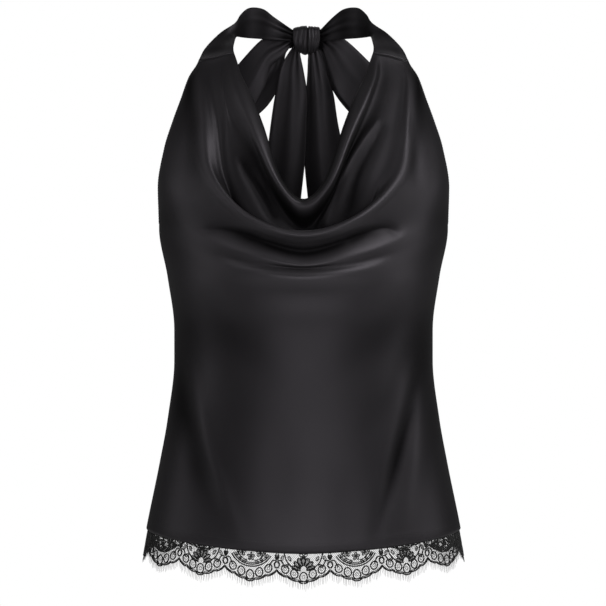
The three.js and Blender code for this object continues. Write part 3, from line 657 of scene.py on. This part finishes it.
def tubes(paths, radius, sides, taper):
    """Points and faces of thin tubes along paths, each an array of points in millimetres."""
    all_points, all_faces, count = [], [], 0
    angles = np.arange(sides) * 2 * math.pi / sides
    for path in paths:
        path = np.asarray(path, float)
        tangents = np.gradient(path, axis=0)
        tangents /= np.maximum(np.linalg.norm(tangents, axis=1, keepdims=True), 1e-9)
        runs_across = abs(tangents[:, 1]).max() < 0.9
        reference = np.array([0.0, 1.0, 0.0] if runs_across else [1.0, 0.0, 0.0])
        first = np.cross(tangents, reference)
        first /= np.maximum(np.linalg.norm(first, axis=1, keepdims=True), 1e-9)
        second = np.cross(tangents, first)
        size = radius * np.linspace(1, taper, len(path))
        ring = np.cos(angles)[:, None] * first[:, None] + np.sin(angles)[:, None] * second[:, None]
        all_points.append((path[:, None] + size[:, None, None] * ring).reshape(-1, 3))
        index = count + np.arange(len(path) * sides).reshape(len(path), sides)
        turned = np.roll(index, -1, axis=1)
        all_faces.append(np.stack([index[:-1], index[1:], turned[1:], turned[:-1]], -1).reshape(-1, 4))
        count += len(path) * sides
    return np.concatenate(all_points), np.concatenate(all_faces)


def thread_piece(name, groups, material, replaced=()):
    """One piece from the paths of each kind of thread."""
    points, faces, count = [], [], 0
    for kind, paths in groups.items():
        group_points, group_faces = tubes(paths, *THREADS[kind])
        points.append(group_points)
        faces.append(group_faces + count)
        count += len(group_points)
    return new_piece(name, np.concatenate(points), np.concatenate(faces), material, replaced)


# Front and back panels with their armhole bindings
def row_lines(strips):
    """Where the grid's rows lie, counted in rows of cloth."""
    lines = [k + s / count for k, count in enumerate(strips) for s in range(count)]
    return np.array(lines + [len(strips) - 1.0])


BINDING_INSET = 0.34  # rows of cloth between the armhole's ends and the binding's
BINDING_START = OUTER_CORNER + BINDING_INSET
BINDING_END = UNDERARM - BINDING_INSET
NOTCH = 0.16  # rows of cloth over which the panel steps in for the binding
NOTCH_LEAD = 0.03
NEAR_EDGE = 0.96
BINDING_GRID = (90, 7)


def edge_share(v, width):
    """The share of the front's half width that a strip of that width takes at its edge."""
    v = np.asarray(v, float)
    gap = front_point(np.ones_like(v), v, False) - front_point(np.full_like(v, NEAR_EDGE), v, False)
    return width / (np.linalg.norm(gap, axis=-1) / (1 - NEAR_EDGE))


def panel_edge(v):
    """The share of the front's width that the panel takes, narrower where the bindings run."""
    down = v - BINDING_START + NOTCH + NOTCH_LEAD
    up = BINDING_END + NOTCH + NOTCH_LEAD - v
    return 1 - np.clip(np.minimum(down / NOTCH, up / NOTCH), 0, 1) * edge_share(v, BINDING_WIDTH + GAP)


FRONT_COLUMNS = 170
BACK_COLUMNS = 130


def front_places():
    lines = row_lines([row[1] for row in FRONT_ROWS])
    edge = panel_edge(lines)
    u = np.linspace(-1, 1, FRONT_COLUMNS + 1)[None, :] * edge[:, None]
    return u, np.repeat(lines[:, None], FRONT_COLUMNS + 1, 1)


def front_panel():
    u, v = front_places()
    points = front_point(u, v)
    hem = points[-1:, :, 2]
    curl = HEM_CURL * np.clip((hem + HEM_TURN - points[..., 2]) / HEM_TURN, 0, 1) ** 2
    points[..., 1] += (curl - hem_step(points[..., 2], hem)) * np.clip(1 - u**8, 0, 1)
    return points


def back_panel():
    lines = row_lines([row[2] for row in BACK_ROWS])
    u = np.repeat(np.linspace(-1, 1, BACK_COLUMNS + 1)[None, :], len(lines), 0)
    points = back_point(u, np.repeat(lines[:, None], BACK_COLUMNS + 1, 1))
    hem, top = points[-1:, :, 2], points[:1, :, 2]
    step = hem_step(points[..., 2], hem) + hem_step(-points[..., 2], -top)
    points[..., 1] += step * np.clip(1 - u**8, 0, 1)
    return points


def binding(side):
    rows, columns = BINDING_GRID
    v = np.linspace(BINDING_START, BINDING_END, rows)
    share = np.linspace(1, 0, columns)
    u = 1 - edge_share(v, BINDING_WIDTH)[:, None] * share[None, :]
    if side < 0:
        u = -u[:, ::-1]
    return front_point(u, np.repeat(v[:, None], columns, 1), False)


front_shade = front_hollows(*front_places())
front = sheet_shell("satin_front", front_panel(), CLOTH, ["front_panel"], hollow=front_shade)
back = sheet_shell("satin_back", back_panel(), CLOTH, ["back_panel"])
bindings = [
    sheet_shell(f"armhole_trim_{name}", binding(side), BINDING, [f"armhole_binding_{name}"])
    for name, side in (("left", -1), ("right", 1))
]


# Ribbons of the neck tie
STRAP_GRID = (130, 33)
LOOP_GRID = (190, 33)
TAIL_GRID = (170, 29)
RIBBON_SHADE = 0.45  # painted shade laid evenly over all the ribbons, darker and duller than the panels
STRAP_GAP = 0.1
TUCK = 5  # how far the ribbons run on into the knot
FIRST_END = (0, 1, 0)  # a section, the one beside it, and where the added one goes
LAST_END = (-1, -2, 2)


def ribbon(sections, grid, bulge, gathers, start_line=None):
    """Middle points of a ribbon through sections of two edge points. gathers adds lengthwise folds."""
    rows, columns = grid
    sections = np.asarray(sections, float)
    last = len(sections) - 1
    v = np.linspace(0, last, rows)
    edges = spline(sections, v)
    u = np.linspace(0, 1, columns)
    points = edges[:, None, 0] * (1 - u[None, :, None]) + edges[:, None, 1] * u[None, :, None]
    if start_line is not None:
        shift = start_line(u) - points[0]
        points += shift[None] * (np.clip(1 - v, 0, 1) ** 2)[:, None, None]
    normals = grid_normals(points)
    rise = bulge * np.sin(np.pi * u)[None, :] * np.sin(np.pi * v / last)[:, None]
    rise = rise + gathers(u[None, :], (v / last)[:, None])
    return points + rise[..., None] * normals


def gathered(knots, depth, folds, reach, phase, long_depth):
    """Folds that run along a ribbon, deepest where it enters the knot, with a faint fold all along."""
    def rise(u, v):
        near = sum(np.exp(-np.abs(v - knot) / reach) for knot in knots)
        pleats = np.cos(2 * np.pi * folds * u + phase)
        pleats = pleats + 0.45 * np.cos(2 * np.pi * (folds + 1.3) * u + 2 * phase)
        across = np.sin(np.pi * u) ** 0.5
        return across * (depth * near * pleats + long_depth * np.cos(2 * np.pi * (u + 0.25 * v) + phase))
    return rise


def tucked(sections, ends):
    """Sections with one more at each of those ends, where the ribbon runs on into the knot."""
    sections = np.asarray(sections, float)
    parts = [sections]
    for end, beside, place in ends:
        step = sections[end].mean(0) - sections[beside].mean(0)
        parts.insert(place, sections[[end]] + TUCK * step / np.linalg.norm(step))
    return np.concatenate(parts)


def mirror_x(sections):
    return np.asarray(sections, float) * np.array([-1, 1, 1])


def ribbon_shade(points, turns_back=False):
    """Painted shade in a ribbon's hollows and over all of it. The half of a loop that runs back is looked at
    from behind.
    """
    depth = points[..., 1].copy()
    if turns_back:
        depth[len(depth) // 2 :] *= -1
    return np.clip(RIBBON_SHADE + hollows(depth, RIBBON_HOLLOWS), -1, 1)


def strap_seam(side):
    """The line that a strap starts from: the front's upper edge from the neck to the armhole."""
    def line(share):
        share = share if side < 0 else 1 - share
        v = share * OUTER_CORNER
        edge = front_point(np.full_like(v, side), v, False)
        inside = front_point(np.full_like(v, side * 0.98), v, False)
        step = edge - inside
        return edge + STRAP_GAP * step / np.linalg.norm(step, axis=-1, keepdims=True)
    return line


def strap(side, end, depth, reach, phase):
    sections = np.array(STRAP_RIGHT + [end], float)
    sections = sections[:, ::-1] if side > 0 else mirror_x(sections)
    folds = gathered([1], depth, folds=3, reach=reach, phase=phase, long_depth=0.35)
    return ribbon(tucked(sections, [LAST_END]), STRAP_GRID, 1, folds, strap_seam(side))


def loop(sections, bulge, phase):
    folds = gathered([0, 1], depth=2.2, folds=3, reach=0.10, phase=phase, long_depth=0.8)
    return ribbon(tucked(sections, [FIRST_END, LAST_END]), LOOP_GRID, bulge, folds)


def tail(sections, phase):
    folds = gathered([0], depth=2.0, folds=2, reach=0.2, phase=phase, long_depth=1.2)
    return ribbon(sections, TAIL_GRID, 2, folds)


def tie_pieces(ribbons, name, replaced, turns_back=False):
    """A sheet from each side's ribbon."""
    return {
        side: sheet_shell(
            f"{name}_{side}", points, TIE, [f"{replaced}_{side}"], True, ribbon_shade(points, turns_back)
        )
        for side, points in ribbons.items()
    }


straps = {
    "right": strap(1, STRAP_ENDS["right"], 1.6, 0.18, 2.1),
    "left": strap(-1, STRAP_ENDS["left"], 1.5, 0.16, 0.6),
}
loops = {"left": loop(LOOP_LEFT, 2, 1.1), "right": loop(LOOP_RIGHT, -2, 2.6)[:, ::-1]}
tails = {"left": tail(TAIL_LEFT, 0.4), "right": tail(TAIL_RIGHT, 2.4)}
strap_pieces = tie_pieces(straps, "neck_tie", "neck_strap")
loop_pieces = tie_pieces(loops, "loop", "bow_loop", True)
tail_pieces = tie_pieces(tails, "tail", "bow_tail")


# The knot: a wrapped band with pleats that run round it
KNOT_PLEATS = [
    # x from the centre, half width, depth, slant, where round the knot it is deepest
    [-10.5, 1.6, 1.1, 2.6, 0.8],
    [-5.0, 2.2, 1.3, 3.0, 1.0],
    [1.6, 0.8, 3.4, 0.3, -0.4],
    [5.4, 1.3, 0.9, -0.6, 0.5],
    [9.6, 1.0, 0.8, -0.9, -0.5],
    [13.4, 1.2, 1.0, -1.2, 0.2],
]
KNOT_TAPER = 0.27  # how much narrower the knot is at its foot
KNOT_MIDDLE = 1
KNOT_HALF_HEIGHT = 17
KNOT_GRID = (70, 72)
KNOT_DIMPLE = 1.2  # how far the middles of the knot's ends sink in


def knot_shape():
    """Points and faces of the knot: rings along x, closed at both ends by a band and a fan."""
    rings, around = KNOT_GRID
    t = np.linspace(0, len(KNOT_RINGS) - 1, rings)
    profile = spline(KNOT_RINGS, t)
    angle = np.linspace(0, 2 * math.pi, around, endpoint=False)
    x = np.repeat(profile[:, :1], around, 1)
    sink = np.zeros((rings, around))
    for place, half_width, depth, slant, turn in KNOT_PLEATS:
        aside = (x - place - slant * np.sin(angle)[None]) / half_width
        sink += depth * np.exp(-(aside**2)) * (0.55 + 0.45 * np.cos(angle - math.pi - turn))[None]
    y = (profile[:, 2:] - sink) * np.cos(angle)
    z = (profile[:, 1:2] - sink) * np.sin(angle)
    narrowing = 1 + KNOT_TAPER * np.clip(z / KNOT_HALF_HEIGHT, -1, 0)
    x = (x - KNOT_MIDDLE) * narrowing + KNOT_MIDDLE
    body = np.stack([x, y, z], -1) + KNOT_CENTRE
    index = np.arange(rings * around).reshape(rings, around)
    turned = np.roll(index, -1, axis=1)
    faces = np.stack([index[:-1], turned[:-1], turned[1:], index[1:]], -1).reshape(-1, 4)
    caps, cap_points, count = [], [], rings * around
    for ring, order in ((0, 1), (rings - 1, -1)):
        border = index[ring]
        into = np.array([order * KNOT_DIMPLE, 0, 0])
        centre = body[ring].mean(0) + into
        middle = centre + 0.6 * (body[ring] - centre) + 0.4 * into
        cap_points.append(np.concatenate([middle, centre[None]]))
        inner = count + np.arange(around)
        tip = np.full(around, count + around)
        band = np.stack([border, inner, np.roll(inner, -1), np.roll(border, -1)], -1)
        fan = np.stack([inner, tip, np.roll(inner, -2), np.roll(inner, -1)], -1)[::2]
        caps += [band[:, ::order], fan[:, ::order]]
        count += around + 1
    return np.concatenate([body.reshape(-1, 3), *cap_points]), np.concatenate([faces, *caps])


knot_points, knot_faces = knot_shape()
knot = new_piece("knot", knot_points, knot_faces, SATIN, ["bow_knot"])
set_cloth_places(knot, knot_points[:, [1, 2]] * MM)
knot.data.attributes.new("edge", "FLOAT", "POINT")


# Lace: drawn flat, across in petals and down in millimetres below the satin's edge, then bent round the hem
PETAL_DROPS = [31.5, 28.2, 23.6]
NOTCH_DROPS = [29, 24.6, 18.6]
HEM_SAMPLES = 400
HEM_LEVEL = -600.0  # the height at which the lace's length is measured
SEAM_PETALS = SCALLOPS * PETALS // 2
NOMINAL_PETAL = 11.4
EDGE_SAMPLES = 14  # in each petal
INNER_EDGE = 1.5  # the thin cord runs this far inside the edge
LASH_PITCH = 1.9
LASH_LENGTHS = (6.4, 8.8)
LASH_ASIDE = 0.9
LASH_OUT = 0.5


def petal_index(k):
    """How far a petal lies from the middle of its scallop, in petals."""
    return abs((k + 2) % PETALS - 2)


def notch_drop(k):
    """How far the notch after a petal hangs."""
    left, right = petal_index(k), petal_index(k + 1)
    return NOTCH_DROPS[2] if left == right else NOTCH_DROPS[min(left, right)]


def edge_drop(across):
    """How far the lace's scalloped edge hangs at a place along it."""
    across = np.asarray(across, float)
    k = np.round(across).astype(int)
    flat_k = k.ravel()
    left = np.array([notch_drop(i - 1) for i in flat_k]).reshape(k.shape)
    right = np.array([notch_drop(i) for i in flat_k]).reshape(k.shape)
    tip = np.array([PETAL_DROPS[petal_index(i)] for i in flat_k]).reshape(k.shape)
    t = np.clip(across - k + 0.5, 0, 1)
    petal = np.minimum(1.15 * np.sin(np.pi * t), 1 - 0.25 * np.abs(2 * t - 1)) ** 0.9
    return left + (right - left) * t + (tip - (left + right) / 2) * petal


def hem_line(centre):
    """Lengths round the hem from its middle to the side seam."""
    around = np.linspace(0, 1, HEM_SAMPLES + 1)
    line = on_figure(around, np.full_like(around, HEM_LEVEL), centre)
    lengths = np.concatenate([[0], np.cumsum(np.linalg.norm(np.diff(line, axis=0), axis=1))])
    return around, lengths


def hem_height(around, centre):
    if centre == FRONT_Y:
        return spline(ROW_TABLES["height"][-1], (around + 1) * STATION_SPAN)
    middle, side, _ = BACK_ROWS[-1]
    return side + (middle - side) * np.cos(around * HALF_TURN)


def hem_place(centre):
    samples, lengths = hem_line(centre)

    def place(flat, out=0.0):
        """Points on the lace's surface from flat places, out millimetres off it."""
        flat = np.asarray(flat, float)
        share = np.clip(flat[:, 0] / SEAM_PETALS, -1, 1)
        around = np.sign(share) * np.interp(np.abs(share) * lengths[-1], lengths, samples)
        height = hem_height(around, centre) - flat[:, 1]
        point = on_figure(around, height, centre)
        step = on_figure(around + 1e-3, height, centre) - on_figure(around - 1e-3, height, centre)
        normal = np.stack([step[:, 1], -step[:, 0], np.zeros(len(step))], -1)
        normal /= np.linalg.norm(normal, axis=1, keepdims=True)
        outward = 1 if centre == FRONT_Y else -1
        point += outward * (np.asarray(out).reshape(-1, 1) - LACE_INSET) * normal
        point[:, 1] += -outward * (GAP / 2 + 0.1)
        return point

    return place


def curve_points(corners, count=14):
    corners = np.asarray(corners, float)
    return spline(corners, np.linspace(0, len(corners) - 1, count))


def oval(centre, half_width, half_height, lean, count=15, pinch=0.0):
    """A closed petal outline. lean turns it, and pinch narrows its upper end."""
    angle = np.linspace(0, 2 * math.pi, count)
    x = half_width * np.sin(angle) * (1 - pinch * (0.5 + 0.5 * np.cos(angle)))
    y = -half_height * np.cos(angle)
    turned = np.stack([x * math.cos(lean) + y * math.sin(lean), -x * math.sin(lean) + y * math.cos(lean)], -1)
    return turned + np.asarray(centre, float)


def hatch(centre, half_width, half_height, lean, lines):
    """Threads that fill a leaf, side by side along it."""
    strokes = []
    for share in np.linspace(-0.8, 0.8, lines):
        reach = half_height * math.sqrt(1 - share * share)
        across = share * half_width
        ends = np.array([[across, -reach], [across * 1.05, 0], [across, reach]])
        turn = np.array([[math.cos(lean), -math.sin(lean)], [math.sin(lean), math.cos(lean)]])
        strokes.append(ends @ turn + np.asarray(centre, float))
    return strokes


def scallop_motif(number):
    """Threads of one scallop, in millimetres from its tip's line: thick cords, thin cords and filling."""
    thick, thin, filling = [], [], []
    # Petals along the scalloped edge
    for index in range(-2, 3):
        drop = PETAL_DROPS[abs(index)]
        x = index * NOMINAL_PETAL
        lean = -0.24 * index
        size = 1 - 0.05 * abs(index)
        centre = (x * 0.86, drop - 6.9)
        thick.append(oval(centre, 4.5 * size, 5.0 * size, lean, 19, 0.2))
        filling.append(oval(centre, 1.5, 1.9, lean, 7))
    if number % 2:
        # A double arc over the petals with flowers inside it
        for radius, group in ((25.5, thick), (23.3, thick), (21.6, thin)):
            angle = np.linspace(-1.02, 1.02, 22)
            group.append(np.stack([radius * np.sin(angle), radius * np.cos(angle) - 9.5], -1))
        for x, y in ((0, 5.5), (-10, 1.5), (10, 1.5)):
            for petal in range(5):
                turn = petal * 2 * math.pi / 5
                centre = (x + 2.5 * math.sin(turn), y - 2.5 * math.cos(turn))
                thin.append(oval(centre, 1.2, 1.9, -turn, 9))
                filling.extend(hatch(centre, 1.1, 1.7, -turn, 3))
            thick.append(oval((x, y), 0.7, 0.7, 0, 7))
        for side in (-1, 1):
            thin.append(curve_points([(side * 4, 9.5), (side * 9, 8), (side * 14, 3.5), (side * 17, -2)]))
            for x, y, lean in ((6.5, 11, 0.9), (11.5, 8.2, 0.6), (15.5, 3.5, 0.3)):
                centre = (side * x, y)
                thin.append(oval(centre, 1.2, 2.5, side * lean, 9))
                filling.extend(hatch(centre, 1.1, 2.3, side * lean, 3))
    else:
        # A bunch of leaves over the petals, with a flower at its head
        leaves = [(0, 10.5), (-0.42, 10), (0.42, 10), (-0.85, 9.4), (0.85, 9.4), (-1.3, 9), (1.3, 9)]
        for lean, reach in leaves:
            middle = (reach * 0.92 * math.sin(lean), 17.5 - reach * 0.92 * math.cos(lean))
            thick.append(oval(middle, 2.3, 4.6, -lean, 13, 0.1))
            filling.extend(hatch(middle, 1.9, 4.1, -lean, 5))
        for petal in range(5):
            turn = petal * 2 * math.pi / 5
            centre = (2.6 * math.sin(turn), 2.4 - 2.6 * math.cos(turn))
            thin.append(oval(centre, 1.3, 2.0, -turn, 9))
        for side in (-1, 1):
            stem = [(side * 3, 18), (side * 11, 15), (side * 17.5, 9), (side * 20.5, 1), (side * 21, -3)]
            thick.append(curve_points(stem, 16))
            for x, y, lean in ((15, 5.5, -0.5), (18.3, 13.2, 1.0), (22.8, 5.2, 0.3)):
                thin.append(oval((side * x, y), 1.4, 2.7, side * lean, 9))
                filling.extend(hatch((side * x, y), 1.2, 2.4, side * lean, 3))
    # A small sprig in the valley on each side
    for side in (-1, 1):
        thick.append(oval((side * 28.4, 12.5), 2.6, 3.4, side * 0.3, 13))
        sprig = (side * 27.6, 4.5)
        thin.append(oval(sprig, 1.2, 2.6, side * 0.3, 9))
        thin.append(curve_points([(side * 28.4, -3), (side * 27.2, 3), (side * 28.4, 8)], 8))
        thick.append(curve_points([(side * 20, 15.5), (side * 23.5, 8.5), (side * 27.5, 8)], 8))
    return thick, thin, filling


NET_PITCH = 2.1  # between the net's threads
NET_RISE = 1.25  # slope of the net's threads


def net_threads(seam_mm, top, petal):
    """The ground: two families of slanting threads, cut off at the scalloped edge."""
    threads = []
    depth = max(PETAL_DROPS)
    reach = (depth + top) / NET_RISE
    starts = np.arange(-seam_mm - reach, seam_mm + reach, NET_PITCH)
    for slant in (-1, 1):
        for start in starts:
            down = np.linspace(-top, depth, 34)
            x = start + slant * (down + top) / NET_RISE
            inside = (np.abs(x) <= seam_mm) & (down < edge_drop(x / petal) - 0.5)
            if inside.sum() < 3:
                continue
            flat = np.stack([x / petal, down], -1)
            kept_places = np.nonzero(inside)[0]
            breaks = np.nonzero(np.diff(kept_places) > 1)[0] + 1
            for run in np.split(kept_places, breaks):
                if len(run) > 2:
                    kept = run[:: max(1, len(run) // 7)]
                    kept = kept if kept[-1] == run[-1] else np.append(kept, run[-1])
                    threads.append(flat[kept])
    return threads


def lace_band(name, centre, random):
    """The front's or the back's lace: cords, filling, net and lashes."""
    place = hem_place(centre)
    _, lengths = hem_line(centre)
    petal = lengths[-1] / SEAM_PETALS
    seam_mm = petal * SEAM_PETALS
    groups = {"thick": [], "thin": [], "filling": []}
    half = SCALLOPS // 2
    for number in range(-half, half + 1):
        for key, strokes in zip(groups, scallop_motif(number)):
            for stroke in strokes:
                flat = np.stack([stroke[:, 0] / NOMINAL_PETAL + number * PETALS, stroke[:, 1]], -1)
                inside = (np.abs(flat[:, 0]) <= SEAM_PETALS + 1e-6) & (flat[:, 1] > -LACE_OVERLAP)
                inside &= flat[:, 1] < edge_drop(flat[:, 0]) + 0.4
                if inside.sum() > 2:
                    first, last = np.nonzero(inside)[0][[0, -1]]
                    groups[key].append(flat[first : last + 1])
    along = np.arange(-SEAM_PETALS, SEAM_PETALS + 1e-6, 1 / EDGE_SAMPLES)
    edge = np.stack([along, edge_drop(along)], -1)
    inner_edge = edge - np.array([0, INNER_EDGE])
    top_edge = np.stack([along[::3], np.full(len(along[::3]), -LACE_OVERLAP + 0.4)], -1)
    cords = {
        "edge": [place(edge, 0.1), place(top_edge, 0)],
        "thick": [place(flat, 0.15) for flat in groups["thick"]],
        "thin": [place(inner_edge, 0)] + [place(flat, 0.1) for flat in groups["thin"]],
    }
    filling = {"filling": [place(flat, 0) for flat in groups["filling"]]}
    net = {"net": [place(flat, -0.1) for flat in net_threads(seam_mm, LACE_OVERLAP, petal)]}
    # Lashes: fine threads of uneven length that hang from the scalloped edge
    share = np.array([0, 0.35, 0.7, 1])
    lashes = []
    for root in np.arange(-SEAM_PETALS + 0.04, SEAM_PETALS, LASH_PITCH / petal):
        start = root + random.uniform(-0.02, 0.02)
        drop = float(edge_drop(np.array([start]))[0])
        length = random.uniform(*LASH_LENGTHS)
        aside = random.uniform(-LASH_ASIDE, LASH_ASIDE) / petal
        out = random.uniform(-LASH_OUT, LASH_OUT)
        flat = np.stack([start + aside * share**2, drop + length * share], -1)
        lashes.append(place(flat, out * share**2))
    return (
        thread_piece(f"lace_cords_{name}", cords, LACE_THREAD, [f"lace_{name}"]),
        thread_piece(f"lace_filling_{name}", filling, LACE_THREAD),
        thread_piece(f"lace_net_{name}", net, NET_THREAD),
        thread_piece(f"lashes_{name}", {"lash": lashes}, LACE_THREAD, [f"lash_fringe_{name}"]),
    )


generator = np.random.default_rng(SEED)
lace_front = lace_band("front", FRONT_Y, generator)
lace_back = lace_band("back", BACK_Y, generator)


# Sewing: rows of small stitches just off the cloth's outer face
STITCH = 2.1
STITCH_PITCH = 3.0
HEM_ROW = 1.2  # below the top of the turned hem


def stitch_row(line, normals, lift):
    """Short threads along a line of points, lifted off the cloth."""
    steps = np.linalg.norm(np.diff(line, axis=0), axis=1)
    lengths = np.concatenate([[0], np.cumsum(steps)])
    stitches = []
    for start in np.arange(0.5, lengths[-1] - STITCH, STITCH_PITCH):
        at = start + STITCH * np.array([0, 0.25, 0.75, 1])
        points = np.stack([np.interp(at, lengths, line[:, axis]) for axis in range(3)], -1)
        outward = np.stack([np.interp(at, lengths, normals[:, axis]) for axis in range(3)], -1)
        height = lift + np.array([-0.15, 0.06, 0.06, -0.15])
        stitches.append(points + outward * height[:, None])
    return stitches


def hem_stitches(points):
    """A row along the top of the turned hem."""
    normals = grid_normals(points)
    target = points[-1, :, 2] + HEM_TURN - HEM_ROW
    rows = np.abs(points[..., 2] - target[None]).argmin(0)
    columns = np.arange(points.shape[1])
    low = np.clip(rows, 1, len(points) - 2)
    line = points[low, columns]
    line[:, 2] = target
    return stitch_row(line[3:-3], normals[low, columns][3:-3], CLOTH / 2)


def edge_stitches(points, thickness, column):
    """A row down one column of a sheet."""
    return stitch_row(points[:, column], grid_normals(points)[:, column], thickness / 2)


sewing = hem_stitches(front_panel()) + hem_stitches(back_panel())
sewing += edge_stitches(binding(-1), BINDING, 5) + edge_stitches(binding(1), BINDING, 1)
sewing_piece = thread_piece("hem_and_armhole_sewing", {"stitch": sewing}, SEWING)


# The ribbons' lengths down their middles, in metres, worked out but not kept
def strip_length(points):
    return float(grid_lengths(points)[1][-1, points.shape[1] // 2]) * MM


for side in ("left", "right"):
    strip_length(straps[side])
    strip_length(loops[side])
    strip_length(tails[side])

# Camera, floor and light
scene = bpy.context.scene
camera_data = bpy.data.cameras.new("camera")
camera_data.sensor_width = SENSOR
camera_data.lens = SENSOR * FOCAL_PIXELS / PICTURE
camera_data.shift_x = -(CENTRE_COLUMN - PICTURE / 2) / PICTURE
camera = bpy.data.objects.new("camera", camera_data)
camera.location = (0, CAMERA_Y * MM, CAMERA_Z * MM)
camera.rotation_euler = (math.pi / 2, 0, 0)
scene.collection.objects.link(camera)
scene.camera = camera
scene.view_settings.view_transform = "Standard"

FLOOR_HALF = 3.0
FLOOR_Z = -1.38
FLOOR_TONE = 0.86
FLOOR_GLOW = 0.7  # the floor is paler to look at than it is as a light
SQUARE = [(-1, -1), (1, -1), (1, 1), (-1, 1)]
floor_mesh = bpy.data.meshes.new("floor")
floor_corners = [(FLOOR_HALF * x, FLOOR_HALF * y, FLOOR_Z) for x, y in SQUARE]
floor_mesh.from_pydata(floor_corners, [], [(0, 1, 2, 3)])
floor = bpy.data.objects.new("floor", floor_mesh)
floor_material, floor_nodes, floor_links, floor_shader = new_material("pale_floor")
set_inputs(floor_shader, {
    "Base Color": (FLOOR_TONE, FLOOR_TONE, FLOOR_TONE, 1),
    "Roughness": 0.9,
    "Emission Color": (1, 1, 1, 1),
})
looked_at = add_node(floor_nodes, "LightPath")
glow = add_node(floor_nodes, "Math", {1: FLOOR_GLOW}, operation="MULTIPLY")
join(floor_links, [
    (looked_at, "Is Camera Ray", glow, 0),
    (glow, 0, floor_shader, "Emission Strength"),
])
floor_mesh.materials.append(floor_material)
scene.collection.objects.link(floor)

LIGHTS = [
    # name, place, aims at, width, height, watts
    ["front", (0.1, -3.0, -0.45), (0, -0.1, -0.35), 2.4, 1.4, 17],
    ["key_left", (-1.5, -1.5, 1.5), (0, -0.1, -0.3), 1.3, 2.3, 7],
    ["key_right", (1.5, -1.5, 1.5), (0, -0.1, -0.3), 1.3, 2.3, 28],
    ["side_left", (-2.6, -0.7, 0.0), (0, -0.1, -0.35), 1.0, 1.8, 5],
    ["side_right", (2.6, -0.7, 0.0), (0, -0.1, -0.35), 1.0, 1.8, 7],
    ["back_high", (0, 1.7, 1.7), (0, 0, -0.25), 2.4, 1.0, 7],
]
for name, place, target, width, height, watts in LIGHTS:
    light = bpy.data.lights.new(name, "AREA")
    light.shape = "RECTANGLE"
    light.size = width
    light.size_y = height
    light.energy = watts
    holder = bpy.data.objects.new(name, light)
    holder.location = place
    aim = Vector(target) - Vector(place)
    holder.rotation_euler = aim.to_track_quat("-Z", "Y").to_euler()
    scene.collection.objects.link(holder)

# The surroundings are white to look at and dimmer as a light
SURROUND_LIGHT = 0.07
world = bpy.data.worlds.new("studio")
world.use_nodes = True
world_nodes = world.node_tree.nodes
dim = world_nodes["Background"]
set_inputs(dim, {"Color": (1, 1, 1, 1), "Strength": SURROUND_LIGHT})
bright = add_node(world_nodes, "Background", {"Color": (1, 1, 1, 1), "Strength": 1.0})
seen = add_node(world_nodes, "LightPath")
blend = add_node(world_nodes, "MixShader")
join(world.node_tree.links, [
    (seen, "Is Camera Ray", blend, "Fac"),
    (dim, "Background", blend, 1),
    (bright, "Background", blend, 2),
    (blend, "Shader", world_nodes["World Output"], "Surface"),
])
scene.world = world
